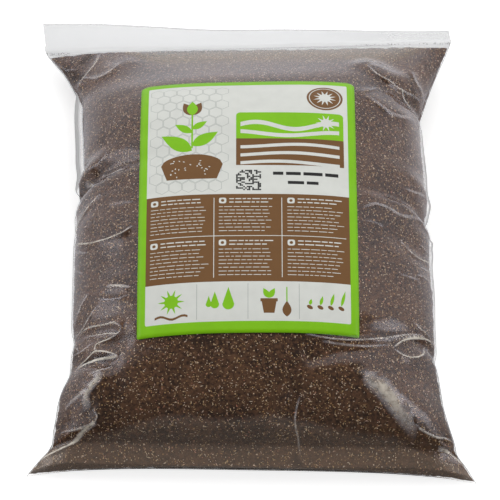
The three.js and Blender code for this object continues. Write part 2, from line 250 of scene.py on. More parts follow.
def side_edge(along, sign):
    """x = waist - notches + ears, y straight but for the left tip's drop, z = weld height less a drop
    at each end; all as powers of the distance from that end: (1 - d / reach)^p."""
    name = "left" if sign < 0 else "right"
    length = sizes().body_length
    foot, head = foot_corner(sign), head_corner(sign)
    from_foot, from_head = along * length, (1 - along) * length
    waist = lerp(*WAIST[name], along)
    foot_ear = grow(1 - from_foot / EAR[name][0], EAR_POWER[0])
    head_ear = grow(1 - from_head / EAR[name][1], EAR_POWER[1])
    foot_out = (abs(foot[0]) - WAIST[name][0]) * foot_ear
    head_out = (abs(head[0]) - WAIST[name][1]) * head_ear
    waist = waist - notch_depth(along, name)
    z = SIDE_WELD_HEIGHT
    z = z + (foot[2] - SIDE_WELD_HEIGHT) * grow(1 - from_foot / WELD_DROP[0], WELD_DROP_POWER)
    z = z + (head[2] - SIDE_WELD_HEIGHT) * grow(1 - from_head / WELD_DROP[1], WELD_DROP_POWER)
    drop = LEFT_TIP_DROP if sign < 0 else 0.0
    y = lerp(foot[1] + drop, head[1], along) - drop * foot_ear
    return np.stack([sign * (waist + foot_out + head_out), y, z], -1)


def foot_edge(across):
    """Straight between the tips, with y - bow (1 - u^2) and z + rise (1 - |u|^3)."""
    share = ((across + 1) / 2)[..., None]
    edge = lerp(foot_corner(-1), foot_corner(1), share)
    edge[..., 1] -= FOOT_BOW * (1 - across**2)
    edge[..., 2] += (FOOT_WELD_HEIGHT - FOOT_TIP_HEIGHT) * (1 - np.abs(across) ** 3)
    return edge


def head_edge(across):
    """Straight between the head weld's ends."""
    return lerp(head_corner(-1), head_corner(1), ((across + 1) / 2)[..., None])


def weld_sheet(across, along):
    """Coons patch: ends lerped along, plus sides lerped across, less the corners' bilinear patch."""
    u, v = ((across + 1) / 2)[..., None], np.asarray(along)[..., None]
    ends = lerp(foot_edge(across), head_edge(across), v)
    sides = lerp(side_edge(along, -1), side_edge(along, 1), u)
    corners = lerp(
        lerp(foot_corner(-1), foot_corner(1), u), lerp(head_corner(-1), head_corner(1), u), v
    )
    return ends + sides - corners


def half_width(along):
    """Half the distance between the side edges."""
    return (side_edge(along, 1)[..., 0] - side_edge(along, -1)[..., 0]) / 2


# Side weld: the share of its width that shows where it is turned under, and for each side the most
# that shows, the start and end of that stretch, and the lengths over which it comes and goes
TURNED_WELD = 0.10
WELD_SHOWN = {"left": (1.0, 0.60, 0.88, 0.05, 0.05), "right": (0.35, 0.3, 0.8, 0.2, 0.1)}


def weld_width(along, sign):
    """Side weld: turned under, but for one stretch of each side between two smooth steps."""
    left, right = (
        lerp(TURNED_WELD, most, smooth((along - start) / comes) * smooth((end - along) / goes))
        for most, start, end, comes, goes in WELD_SHOWN.values()
    )
    return sizes().side_weld * np.where(np.asarray(sign) < 0, left, right)


def filled_share(along, sign=-1):
    """Share of the half width that the filling has, inside the side weld."""
    return 1 - weld_width(along, sign) / half_width(along)


def crown_line(from_foot, from_head, across):
    """Rounded minimum of a superellipse front, over a short straight lip, and a straight far slope."""
    crown = sizes().crown_height
    lip = FOOT_WELD_HEIGHT + LIP_RISE * from_foot / LIP_LENGTH
    lip_top = FOOT_WELD_HEIGHT + LIP_RISE
    front = lip_top + (crown - lip_top) * swell((from_foot - LIP_LENGTH) / FRONT_LENGTH, FRONT_POWER)
    foot_height = np.where(from_foot < LIP_LENGTH, lip, rounded_max(lip_top, front, LIP_ROUNDING))
    head_height = head_edge(across)[..., 2] + HEAD_SLOPE * from_head
    return -rounded_max(-foot_height, -head_height, CROWN_ROUNDING)


# Folds of the upper sheet: (from, to, rise, reach), ends as shares, rise and reach in mm
LARGE_FOLDS = (
    ((-0.84, 0.98), (-0.93, 0.90), -6, 12),
    ((-0.94, 0.88), (-0.66, 0.93), 3, 9),
    ((0.64, 0.88), (0.88, 0.82), 4, 9),
    ((0.90, 0.80), (0.98, 0.80), -7, 8),
    ((0.90, 0.85), (0.95, 0.92), 3, 9),
    ((0.70, 0.75), (0.88, 0.73), 2, 9),
    ((-1.0, 0.585), (-0.76, 0.60), -2.5, 9),
    ((-1.0, 0.48), (-0.72, 0.42), 2.5, 9),
    ((0.74, 0.46), (0.95, 0.57), 2, 9),
    ((0.80, 0.43), (1.0, 0.40), -2.5, 9),
    ((-0.95, 0.23), (-0.72, 0.19), -3.5, 6),
    ((-0.92, 0.165), (-0.74, 0.145), -3.5, 5),
    ((-0.84, 0.11), (-0.78, 0.06), 5, 14),
    ((0.30, 0.155), (0.92, 0.22), -2.5, 8),
    ((0.66, 0.11), (0.84, 0.07), 5, 15),
    ((0.22, 0.09), (0.21, 0.01), -2.5, 6),
)
# Shaded pockets under the folds: (from, to, darkness, reach in mm)
POCKETS = (
    ((-0.90, 0.167), (-0.78, 0.162), 1.0, 2.4),
    ((-0.80, 0.193), (-0.45, 0.197), 0.55, 3.0),
    ((-0.99, 0.210), (-0.97, 0.190), 0.6, 3.5),
    ((-0.865, 0.950), (-0.79, 0.972), 0.6, 2.8),
    ((-0.985, 0.930), (-0.95, 0.900), 0.6, 4.5),
    ((0.885, 0.865), (0.955, 0.815), 0.5, 2.8),
    ((0.20, 0.014), (0.215, 0.0), 0.6, 3.5),
)


def fold_height(plan, folds):
    """Sum over the folds of rise exp(-(d / reach)^2), d the plan distance from the fold's line."""
    ends = np.array([[start, end] for start, end, _, _ in folds])
    lines = weld_sheet(ends[..., 0], ends[..., 1])[..., :2]
    height = np.zeros(plan.shape[:-1])
    for (start, end), (_, _, rise, reach) in zip(lines, folds):
        run = end - start
        share = np.clip(((plan - start) @ run) / (run @ run), 0, 1)
        distance = np.linalg.norm(plan - start - share[..., None] * run, axis=-1)
        height += rise * MM * np.exp(-((distance / (reach * MM)) ** 2))
    return height


def pocket_shade(plan):
    """Darkness 0 to 1 of the pockets, with the folds' own falling off."""
    return np.clip(fold_height(plan, POCKETS) / MM, 0, 1)


# Creases of the film alone: (path of shares in thousandths, rise, reach to the path's left and
# right, width of the line, its strength), lengths in mm. The line is whitened film and a painted
# highlight. A short reach is a steep face.
# Neighbours stand at even and odd places of the list.
CREASES = (
    (((-970, 597), (-944, 572), (-880, 555)), 1.6, 3, 1.8, 1.3, 0.55),
    (((-900, 585), (-840, 572), (-760, 575)), 1.4, 3, 1.8, 1.6, 0.65),
    (((-950, 612), (-870, 607), (-800, 622)), 1, 3, 2, 1, 0.25),
    (((-1000, 656), (-963, 633), (-900, 650)), 0.8, 3, 2, 0.8, 0.25),
    (((-1000, 470), (-980, 487), (-920, 510), (-840, 524)), 1.7, 4, 1.8, 0.9, 0.6),
    (
        ((-990, 457), (-960, 438), (-897, 416), (-798, 406), (-716, 408), (-655, 422)),
        1.7, 4, 1.8, 0.7, 0.75,
    ),
    (((-798, 487), (-749, 486), (-651, 480)), 0.8, 4, 2.5, 1.6, 0.22),
    (((-910, 400), (-950, 415), (-990, 437)), 0.9, 2.5, 3, 0.8, 0.3),
    (((-930, 355), (-960, 375), (-990, 395)), 0.7, 2, 3, 0.7, 0.22),
    (((-800, 303), (-740, 296), (-666, 287)), 1.6, 2.5, 2, 1.4, 0.6),
    (((-900, 305), (-940, 288), (-985, 262)), 1.2, 2.5, 3, 1, 0.4),
    (((-850, 282), (-760, 270), (-670, 272)), 0.8, 2, 2, 0.8, 0.22),
    (((-1000, 246), (-958, 239), (-910, 252), (-850, 268)), 1.3, 3, 2, 0.7, 0.55),
    (((-961, 233), (-920, 236), (-830, 226), (-760, 222), (-711, 212)), 1.5, 3, 1.8, 0.8, 0.6),
    (((-930, 221), (-860, 214), (-790, 208), (-735, 203), (-711, 212)), 1, 1.6, 2, 0.7, 0.55),
    (((-735, 202), (-790, 196), (-845, 190), (-856, 182), (-845, 176)), 1.6, 1.8, 3, 0.8, 0.75),
    (((-942, 165), (-900, 170), (-845, 175), (-770, 166), (-712, 156)), 1.4, 1.8, 3, 0.8, 0.8),
    (((-947, 162), (-850, 161), (-770, 157), (-708, 155)), 1.2, 1.8, 3, 1.2, 0.95),
    (((-998, 200), (-930, 191), (-869, 197)), 0.9, 3, 2, 0.7, 0.4),
    (((-985, 225), (-965, 210), (-950, 195)), 0.8, 2, 2, 0.6, 0.4),
    (((-800, 128), (-775, 117), (-820, 98), (-830, 83), (-810, 66)), 1.8, 4, 5, 3.4, 0.5),
    (((-720, 141), (-780, 131), (-830, 128)), 0.9, 2, 3, 1.1, 0.4),
    (((-955, 50), (-869, 43), (-790, 47), (-770, 55), (-790, 64)), 1.2, 3, 2, 0.8, 0.5),
    (((-985, 16), (-950, 21), (-873, 30), (-823, 40), (-765, 48)), 1.7, 4, 1.8, 1.1, 0.75),
    (((-940, 85), (-870, 92), (-830, 99)), 0.9, 3, 3, 2.2, 0.4),
    (((600, 474), (676, 487), (749, 482), (819, 478), (944, 505)), 1.3, 4, 2.5, 1.6, 0.38),
    (((620, 445), (720, 440)), 0.7, 3, 2, 1.2, 0.2),
    (((800, 428), (858, 411), (914, 409), (963, 421), (990, 438)), 1.5, 3, 1.8, 0.7, 0.65),
    (((923, 442), (966, 447), (998, 460)), 1.2, 3, 1.8, 0.7, 0.45),
    (((789, 344), (843, 345), (904, 352)), 0.9, 3, 2, 1, 0.25),
    (((894, 362), (968, 375)), 0.9, 2, 2, 0.8, 0.35),
    (((900, 385), (963, 398), (998, 408)), 1.2, 3, 1.8, 0.7, 0.45),
    (((860, 553), (920, 560), (998, 590)), 1, 3, 2, 1, 0.35),
    (((869, 252), (910, 246), (955, 246)), 1.2, 2, 1.8, 0.7, 0.55),
    (((272, 191), (417, 186), (564, 191), (716, 205), (866, 228), (920, 238)), 1.4, 3, 2, 0.7, 0.5),
    (((360, 181), (450, 179), (600, 181), (730, 193)), 1, 2.2, 2.2, 0.9, 0.35),
    (((744, 190), (800, 207), (870, 222), (938, 235), (990, 241)), 1.2, 2, 1.8, 0.8, 0.8),
    (((744, 187), (780, 178), (831, 177), (884, 187), (923, 204), (938, 219)), 1.5, 1.8, 4, 0.8, 0.7),
    (((950, 222), (965, 205), (985, 192)), 1, 2, 2, 0.8, 0.5),
    (((608, 131), (600, 113), (645, 96), (690, 76), (740, 59), (800, 50)), 1.6, 16, 7, 6, 0.5),
    (((690, 118), (665, 106), (700, 90), (735, 79)), 0.8, 8, 8, 6, 0.3),
    (((780, 53), (835, 47), (900, 46), (985, 58)), 1.5, 4, 1.8, 0.7, 0.55),
    (((880, 36), (938, 33), (995, 13)), 1.3, 2.5, 2, 1.2, 0.65),
    (((235, 90), (200, 60), (215, 35), (220, 12)), 1.2, 3, 5, 0.9, 0.35),
    (((640, 868), (700, 842), (758, 826), (877, 813), (978, 825)), 2, 6, 1.8, 0.9, 0.5),
    (((870, 818), (905, 803), (966, 795), (990, 798)), 1.5, 1.6, 5, 0.8, 0.6),
    (((894, 880), (930, 855), (975, 845), (990, 835)), 1.4, 4, 2, 2, 0.35),
    (((665, 755), (720, 738), (800, 722), (870, 728), (944, 752)), 1.8, 6, 3, 2, 0.3),
    (((608, 768), (680, 775), (749, 796)), 0.8, 3, 3, 1.4, 0.22),
    (((-700, 997), (-765, 962), (-840, 925), (-930, 890), (-990, 870)), 2, 5, 1.8, 0.9, 0.65),
    (((-941, 890), (-873, 873), (-793, 884), (-706, 918)), 1.8, 3, 4, 1.6, 0.4),
    (((-990, 944), (-978, 930), (-930, 925)), 0.8, 2, 2, 0.8, 0.4),
)
# Creases: steps between two points of a path, power of the fall, how many reaches and, at least, mm
# they are worked out over, how many widths a line fades over, and its distance where there is none
CREASE_STEPS = 8
CREASE_POWER = 1.5
CREASE_REACHES = 2.5
LINE_WIDTHS = 1.6
LINE_REACH = 2.4
LINE_FAR = 5.0


def crease_path(thousandths):
    """Plan points of a smooth curve through the shares."""
    shares = np.array(thousandths) / 1000
    steps = np.linspace(0, len(shares) - 1, CREASE_STEPS * (len(shares) - 1) + 1)
    smoothed = [spline(shares[:, k], steps) for k in range(2)]
    return weld_sheet(*smoothed)[:, :2]


def along_path(points, line):
    """(distance to the path, below zero on its right; share of the path at the nearest point)."""
    nearest = np.full(len(points), np.inf)
    side = np.ones(len(points))
    done = np.zeros(len(points))
    for k in range(len(line) - 1):
        run = line[k + 1] - line[k]
        offset = points - line[k]
        share = np.clip((offset @ run) / (run @ run), 0, 1)
        distance = np.linalg.norm(offset - share[:, None] * run, axis=-1)
        closer = distance < nearest
        nearest = np.where(closer, distance, nearest)
        side = np.where(closer, run[0] * offset[:, 1] - run[1] * offset[:, 0], side)
        done = np.where(closer, (k + share) / (len(line) - 1), done)
    return np.where(side < 0, -nearest, nearest), done


def crease_fields(plan):
    """(height, lines): the height is a sum over the creases of rise t exp(-(d / reach)^p), with
    the reach chosen by the side and t a taper to nothing at both ends. Lines hold for every second
    crease the signed distance over the line's width and the line's strength, which fades out by
    LINE_REACH or LINE_WIDTHS widths, whichever is more."""
    height = np.zeros(plan.shape[:-1])
    lines = np.zeros((2, *plan.shape[:-1], 3))
    lines[..., 0] = LINE_FAR
    nearest = np.full((2, *plan.shape[:-1]), np.inf)
    for number, (path, rise, left, right, width, strength) in enumerate(CREASES):
        line = crease_path(path)
        reach = max(CREASE_REACHES * max(left, right), LINE_REACH) * MM
        inside = np.all((plan > line.min(0) - reach) & (plan < line.max(0) + reach), axis=-1)
        distance, done = along_path(plan[inside], line)
        taper = np.clip(4 * done * (1 - done), 0, 1) ** 0.5
        size = np.abs(distance)
        reaches = np.where(distance > 0, left, right) * MM
        height[inside] += rise * MM * taper * np.exp(-((size / reaches) ** CREASE_POWER))
        layer = number % 2
        closer = size < nearest[layer][inside]
        nearest[layer][inside] = np.where(closer, size, nearest[layer][inside])
        shown = strength * taper * (1 - smooth(size / (max(LINE_REACH, LINE_WIDTHS * width) * MM)))
        place = np.clip(distance / (width * MM), -LINE_FAR, LINE_FAR)
        for column, values in enumerate((place, shown)):
            lines[layer][inside, column] = np.where(closer, values, lines[layer][inside, column])
    return height, lines


def spline(values, steps):
    """Catmull-Rom curve through evenly spaced values, with its ends carried on straight."""
    padded = np.concatenate([[2 * values[0] - values[1]], values, [2 * values[-1] - values[-2]]])
    k = np.clip(np.floor(steps).astype(int), 0, len(values) - 2)
    t = steps - k
    a, b, c, d = (padded[k + n] for n in range(4))
    square = 2 * b + (c - a) * t + (2 * a - 5 * b + 4 * c - d) * t**2
    return 0.5 * (square + (3 * b - a - 3 * c + d) * t**3)


def label_calm(plan):
    """0 in the plan field under the label, rising by a smooth step to 1 over CALM_FADE round it."""
    s = sizes()
    middle = LABEL_FROM_FOOT + s.label_length / 2 - LABEL_SINK
    beyond_side = np.abs(plan[..., 0]) - s.label_width / 2 + CALM_OVERLAP
    beyond_end = np.abs(plan[..., 1] - middle) - s.label_length / 2 + LABEL_SINK
    return smooth(np.maximum(beyond_side, beyond_end) / CALM_FADE)


def filled_point(in_across, along):
    """(point of the weld sheet, height of the upper sheet over it, depth of the under sheet). The
    upper sheet is the crown line times a superellipse across, with folds and ripples that fade in
    over the lowest quarter of the crown. The under sheet goes down by a quarter of an ellipse from
    each weld."""
    s = sizes()
    share = filled_share(along, in_across)
    across = in_across * share
    point = weld_sheet(across, along)
    from_side = (1 - np.abs(in_across)) * share * half_width(along)
    from_foot = np.maximum(along * s.body_length - FOOT_WELD, 0)
    from_head = np.maximum((1 - along) * s.body_length - END_WELD, 0)
    cross = lerp(*CROSS_POWER, smooth(along)) + LIP_CROSS[0] * np.exp(-((from_foot / LIP_CROSS[1]) ** 2))
    crown = np.maximum(crown_line(from_foot, from_head, across) - point[..., 2], 0)
    crown = crown * swell(1 - np.abs(in_across), cross)
    fade = np.minimum(crown / (s.crown_height / 4), 1)
    rise, cell, reach = RIPPLE
    ripple = rise * noise(point * (1, 0, 0), cell, 4) * np.exp(-((from_foot / reach) ** 2))
    up = crown + fade * (fold_height(point[..., :2], LARGE_FOLDS) + ripple)
    under = swell(from_side / UNDER_REACH[0], 2) * swell(from_foot / UNDER_REACH[1], 2)
    under = under * swell(from_head / UNDER_REACH[2], 2)
    return point, up, point[..., 2] * under


CROWDING = 0.6


def crowded(count):
    """Shares 0 to 1, lerped from even to (1 - cos(pi s)) / 2 by the crowding."""
    even = np.linspace(0, 1, count + 1)
    return lerp(even, (1 - np.cos(even * math.pi)) / 2, CROWDING)


def to_frame(points):
    """From the bag's own place, foot weld at y = 0, to the frame's, centred on the CAD's box."""
    low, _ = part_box("film_bag")
    shift = np.array([low[0] - foot_corner(-1)[0], low[1] - foot_corner(1)[1], 0.0])
    return points + shift


# Grids and meshes

WELD_COLUMNS = 2
CREASE_ROOM = 0.006
HEADER_ROWS = 12


def film_places(columns, rows):
    """Grid of places on a sheet: across in shares past +-1 for the side welds, and along as a
    length from the foot's edge that runs past the body into the header."""
    s = sizes()
    weld = np.linspace(0, 1, WELD_COLUMNS + 1)[1:]
    inner = 2 * crowded(columns) - 1
    across = np.concatenate([-1 - weld[::-1], inner, 1 + weld])
    body = lerp(FOOT_WELD, s.body_length - END_WELD, crowded(rows))
    header = s.body_length + np.linspace(0, 1, HEADER_ROWS + 1) * s.header_length
    along = np.concatenate([[0, FOOT_WELD / 2], body, header])
    return np.meshgrid(across, along)


def header_point(across, beyond):
    """Straight out from the head weld at a tilt that is smooth steps between three angles, and
    aside by a flare that grows from the right end to the left."""
    middle = lerp(HEADER_TILT[0], HEADER_TILT[1], smooth(across + 1))
    tilt = np.radians(middle + (HEADER_TILT[2] - HEADER_TILT[1]) * smooth(across))
    flare = -HEADER_FLARE * (1 - across) / 2
    away = np.stack([flare, np.cos(tilt), np.sin(tilt)], -1)
    return head_edge(across) + beyond[..., None] * away


def film_sheets(places, lengths):
    """(upper sheet, under sheet, lines of the creases) over a grid of places, welds and header taken
    in. Under REST_SAG the under sheet's height h becomes h^2 / REST_SAG, so it lies on the floor."""
    s = sizes()
    along = np.clip(lengths / s.body_length, 0, 1)
    inner = np.clip(places, -1, 1)
    share = filled_share(along, places)
    across = inner * share + (places - inner) * (1 - share)
    point, up, down = filled_point(inner, along)
    flat = weld_sheet(across, along)
    beyond = np.maximum(lengths - s.body_length, 0)
    flat = np.where((beyond > 0)[..., None], header_point(across, beyond), flat)
    filled = (np.abs(places) <= 1) & (lengths >= FOOT_WELD) & (lengths <= s.body_length - END_WELD)
    upper, under = flat.copy(), flat.copy()
    room = label_calm(point[..., :2]) * np.minimum(up / CREASE_ROOM, 1)
    height, lines = crease_fields(point[..., :2])
    upper[..., 2] += FILM + np.where(filled, up + height * room, 0)
    lines[..., 1] *= room * filled
    height = np.where(filled, (flat[..., 2] - FILM) * (1 - down / flat[..., 2]), flat[..., 2] - FILM)
    under[..., 2] = np.where(height < REST_SAG, height**2 / REST_SAG, height)
    return upper, under, lines


def grid_normals(points):
    """Unit cross product of the central differences across and along."""
    across, along = np.gradient(points, axis=1), np.gradient(points, axis=0)
    normal = np.cross(across, along)
    return normal / np.maximum(np.linalg.norm(normal, axis=-1, keepdims=True), 1e-12)


def sheet_faces(rows, columns, start=0, flip=False):
    """Quads of a grid of points numbered row by row from start."""
    j, i = np.meshgrid(np.arange(rows - 1), np.arange(columns - 1), indexing="ij")
    a = (start + j * columns + i).ravel()
    quads = np.stack([a, a + 1, a + columns + 1, a + columns], -1)
    return quads[:, ::-1] if flip else quads


def border(rows, columns):
    """Numbers of a grid's border points, once round, counter-clockwise."""
    return np.concatenate([
        np.arange(columns - 1),
        np.arange(rows - 1) * columns + columns - 1,
        (rows - 1) * columns + np.arange(columns - 1, 0, -1),
        np.arange(rows - 1, 0, -1) * columns,
    ])


def film_faces(rows, columns):
    """Upper sheet, an under sheet of every second point, and the wall of triangles between them."""
    count = rows * columns
    under_rows, under_columns = (rows + 1) // 2, (columns + 1) // 2
    ring = border(rows, columns)
    low = border(under_rows, under_columns) + count
    a, b, c = ring[0::2], ring[1::2], np.roll(ring[0::2], -1)
    low_a, low_b = low, np.roll(low, -1)
    wall = np.concatenate([
        np.stack([low_a, b, a], -1), np.stack([low_a, low_b, b], -1), np.stack([low_b, c, b], -1)
    ])
    sheets = [sheet_faces(rows, columns), sheet_faces(under_rows, under_columns, count, flip=True)]
    return [np.concatenate(sheets), wall]


def closed_faces(rows, columns):
    """Upper and under sheets of one grid size, with a wall round their borders."""
    count = rows * columns
    ring = border(rows, columns)
    after = np.roll(ring, -1)
    wall = np.stack([ring + count, after + count, after, ring], -1)
    return np.concatenate(
        [sheet_faces(rows, columns), sheet_faces(rows, columns, count, flip=True), wall]
    )


def linked(name, data):
    """New object in the scene."""
    made = bpy.data.objects.new(name, data)
    bpy.context.collection.objects.link(made)
    return made


def make_piece(name, points, faces, materials):
    """Smooth mesh object at the origin from points (n, 3) and one or more arrays of faces (m, k)."""
    mesh = bpy.data.meshes.new(name)
    groups = faces if isinstance(faces, list) else [faces]
    corners = np.concatenate([group.ravel() for group in groups])
    sides = np.concatenate([np.full(len(group), group.shape[1]) for group in groups])
    mesh.vertices.add(len(points))
    mesh.vertices.foreach_set("co", to_frame(points).astype(np.float32).ravel())
    mesh.loops.add(len(corners))
    mesh.loops.foreach_set("vertex_index", corners.astype(np.int32))
    mesh.polygons.add(len(sides))
    mesh.polygons.foreach_set("loop_start", (np.cumsum(sides) - sides).astype(np.int32))
    mesh.polygons.foreach_set("use_smooth", np.ones(len(sides), dtype=bool))
    mesh.update(calc_edges=True)
    for material in materials:
        mesh.materials.append(material)
    piece = linked(name, mesh)
    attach(piece, BODY)
    return piece


def point_attribute(piece, name, values, kind="FLOAT"):
    """Gives each point of a piece a number or a vector."""
    attribute = piece.data.attributes.new(name, kind, "POINT")
    key = "value" if kind == "FLOAT" else "vector"
    attribute.data.foreach_set(key, np.ascontiguousarray(values, dtype=np.float32).ravel())


HASH_WAVES = (12.9898, 78.233, 37.719)
HASH_SEED = 4.1414
HASH_SIZE = 43758.5453


def hashed(cells, seed):
    """Pseudo-random number in 0..1 for each whole cell, from the fraction of a large sine."""
    mixed = cells @ np.array(HASH_WAVES) + seed * HASH_SEED
    return np.modf(np.abs(np.sin(mixed) * HASH_SIZE))[0]


def noise(points, scale, seed):
    """Value noise in -1..1: corner numbers of each cell of the given size, blended smoothly."""
    scaled = points / scale
    cell = np.floor(scaled)
    share = smooth(scaled - cell)
    total = 0
    for corner in np.ndindex(2, 2, 2):
        weight = np.prod(np.where(corner, share, 1 - share), axis=-1)
        total = total + weight * hashed(cell + corner, seed)
    return 2 * total - 1


# Shader maths

class Value:
    """A socket that adds Math nodes when it is used in an expression."""

    def __init__(self, nodes, socket):
        self.nodes = nodes
        self.socket = socket

    def _with(self, operation, *values):
        """Math node over the values."""
        return self.nodes.add("ShaderNodeMath", {"operation": operation}, *values)

    def __add__(self, other):
        return self._with("ADD", self, other)

    __radd__ = __add__

    def __mul__(self, other):
        return self._with("MULTIPLY", self, other)

    __rmul__ = __mul__

    def __sub__(self, other):
        return self._with("SUBTRACT", self, other)

    def __rsub__(self, other):
        return self._with("SUBTRACT", other, self)

    def __truediv__(self, other):
        return self._with("DIVIDE", self, other)

    def __pow__(self, other):
        return self._with("POWER", self, other)

    def beside(self, output):
        """Another output of the same node."""
        return Value(self.nodes, self.socket.node.outputs[output])

    def above(self, low, high):
        """0 under low, 1 over high, smooth between."""
        settings = {"interpolation_type": "SMOOTHSTEP"}
        return self.nodes.add("ShaderNodeMapRange", settings, self, low, high, 0.0, 1.0)


class Nodes:
    """A node tree that is emptied and filled by add()."""

    def __init__(self, tree):
        self.tree = tree
        tree.nodes.clear()

    def feed(self, node, key, value):
        """Links a value to an input, or sets the input to it."""
        if isinstance(value, Value):
            self.tree.links.new(value.socket, node.inputs[key])
        else:
            node.inputs[key].default_value = value

    def add(self, kind, settings=None, *values, output=0, **named):
        """Adds a node, sets its settings first, then its inputs by place or by name."""
        node = self.tree.nodes.new(kind)
        for key, setting in (settings or {}).items():
            if key == "stops":
                self.set_stops(node.color_ramp, setting)
            else:
                setattr(node, key, setting)
        for key, value in enumerate(values):
            self.feed(node, key, value)
        for key, value in named.items():
            self.feed(node, key.replace("_", " "), value)
        return Value(self, node.outputs[output])

    @staticmethod
    def set_stops(ramp, stops):
        """Colours of a ramp, as (place, colour)."""
        while len(ramp.elements) < len(stops):
            ramp.elements.new(1.0)
        for element, (place, colour) in zip(ramp.elements, stops):
            element.position = place
            element.color = (*colour, 1)

    def mix(self, share, first, second):
        """Colour mix."""
        node = self.tree.nodes.new("ShaderNodeMix")
        node.data_type = "RGBA"
        self.feed(node, 0, share)
        for key, colour in ((6, first), (7, second)):
            self.feed(node, key, colour if isinstance(colour, Value) else (*colour, 1))
        return Value(self, node.outputs[2])

    def noise(self, where, scale, detail, roughness):
        """Noise texture's value at a place, scale in cells per metre."""
        kind = "ShaderNodeTexNoise"
        return self.add(kind, None, Vector=where, Scale=scale, Detail=detail, Roughness=roughness)

    def cells(self, where, scale):
        """Distance from the middle of a Voronoi cell, scale in cells per metre."""
        return self.add("ShaderNodeTexVoronoi", None, Vector=where, Scale=scale)

    def bump(self, height, distance):
        """Normal that follows a height."""
        return self.add("ShaderNodeBump", None, Height=height, Distance=distance)

    def place(self):
        """Object coordinates."""
        return self.add("ShaderNodeTexCoord", None, output=3)

    def part(self, vector, number):
        """One coordinate of a vector: 0 for x, 1 for y."""
        return self.add("ShaderNodeSeparateXYZ", None, vector, output=number)

    def attribute(self, name, output=2):
        """What the mesh carries at each point: output 2 is a number, 1 a vector."""
        return self.add("ShaderNodeAttribute", {"attribute_name": name}, output=output)

    def surface(self, shader, kind="ShaderNodeOutputMaterial"):
        """Output node, fed by a shader."""
        end = self.tree.nodes.new(kind)
        self.tree.links.new(shader.socket, end.inputs["Surface"])

    def principled(self, **sockets):
        """Principled shader on the surface."""
        self.surface(self.add("ShaderNodeBsdfPrincipled", None, **sockets))


def new_material(name):
    """(material, its node tree)."""
    material = bpy.data.materials.new(name)
    material.use_nodes = True
    return material, Nodes(material.node_tree)


# Film's tint, from clear to doubled film: (haze where it sets in, haze where it is full, colour).
# The first, warm one mostly tints the lip's painted reflection; the last grey is the doubled film's
# and partly a painted dark reflection along the side welds
CLEAR_TINT = (0.86, 0.84, 0.91)
HAZE_AND_REFLECTION_TINTS = (
    (0.01, 0.05, (0.90, 0.83, 0.78)),
    (0.06, 0.30, (0.715, 0.72, 0.73)),
    (0.50, 0.90, (0.40, 0.40, 0.40)),
)
# Colour of the crease lines: whitened film with a painted highlight
LINE_HIGHLIGHT_TINT = (0.88, 0.81, 0.71)
CRUMB_TINT = (0.05, 0.04, 0.035)
CRUMB_CELLS = 850.0
# How much of the mirror a shaded pocket takes away, and the share by which a crease's line, whitened
# film with a painted highlight, shows, doubled where a noise that breaks the highlight up is high
POCKET_LOSS = 0.8
LINE_HIGHLIGHT_SHARE = 0.45


def film_material():
    """Clear film: it mirrors more at a grazing angle and less in a shaded pocket, and scatters by its
    haze, which holds the lip's painted reflection too, and along the creases, whose lines are
    1 - smoothstep of the squared distance: whitened film with a painted highlight, broken up by a noise.
    It covers by mirror + scatter - mirror x scatter, and is metal by the mirror's share of that. Crumbs
    are round spots of cells, dark and dense, where there is dust."""
    material, n = new_material("clear_film")
    facing = n.add("ShaderNodeLayerWeight", None, Blend=0.5, output=1)
    mirror = (facing**4 * (1 - FILM_MIRROR) + FILM_MIRROR) * (1 - n.attribute("shade") * POCKET_LOSS)
    haze = n.attribute("haze")
    place = n.place()
    # Noise that breaks up the painted highlight of the crease lines
    highlight_noise = n.noise(place, 260, 3, 0.6).above(0.32, 0.62)
    line = 0.0
    for name in LINE_NAMES:
        distance = n.part(n.attribute(name, 1), 0)
        line = line + (1 - (distance * distance).above(0.0, 1.0)) * distance.beside(1)
    scatter = haze + line * (highlight_noise * LINE_HIGHLIGHT_SHARE + LINE_HIGHLIGHT_SHARE)
    crumb = (1 - n.cells(place, CRUMB_CELLS).above(0.25, 0.42)) * n.attribute("dust").above(0.35, 0.65)
    cover = mirror + scatter - mirror * scatter
    cover = cover + crumb * (1 - cover)
    tint = CLEAR_TINT
    for low, high, colour in HAZE_AND_REFLECTION_TINTS:
        tint = n.mix(haze.above(low, high), tint, colour)
    tint = n.mix(line.above(0.1, 0.6), tint, LINE_HIGHLIGHT_TINT)
    tint = n.mix(crumb, tint, CRUMB_TINT)
    ripples = n.noise(place, 60, 3, 0.5) * 3 + n.noise(place, 420, 2, 0.5) * 0.25 + line * 1.5
    bump = n.bump(ripples, 0.0002)
    n.principled(Base_Color=tint, Metallic=mirror / cover, Roughness=0.13, Alpha=cover, Normal=bump)
    return material


# Shares of the compost's colour in dark and light crumbs
CRUMB_SHADES = (0.35, 1.5)
# Painted light at the foot, where the lip is lit: paler compost from full to none in the frame's y,
# its share and its colour
FOOT_LIGHT_FADE = (-0.182, -0.165)
FOOT_LIGHT_SHARE = 0.4
FOOT_LIGHT_TINT = (0.150, 0.092, 0.053)
POCKET_TINT = (0.004, 0.003, 0.002)
# How far specks and pockets cover what is under them
COVERED = 0.9


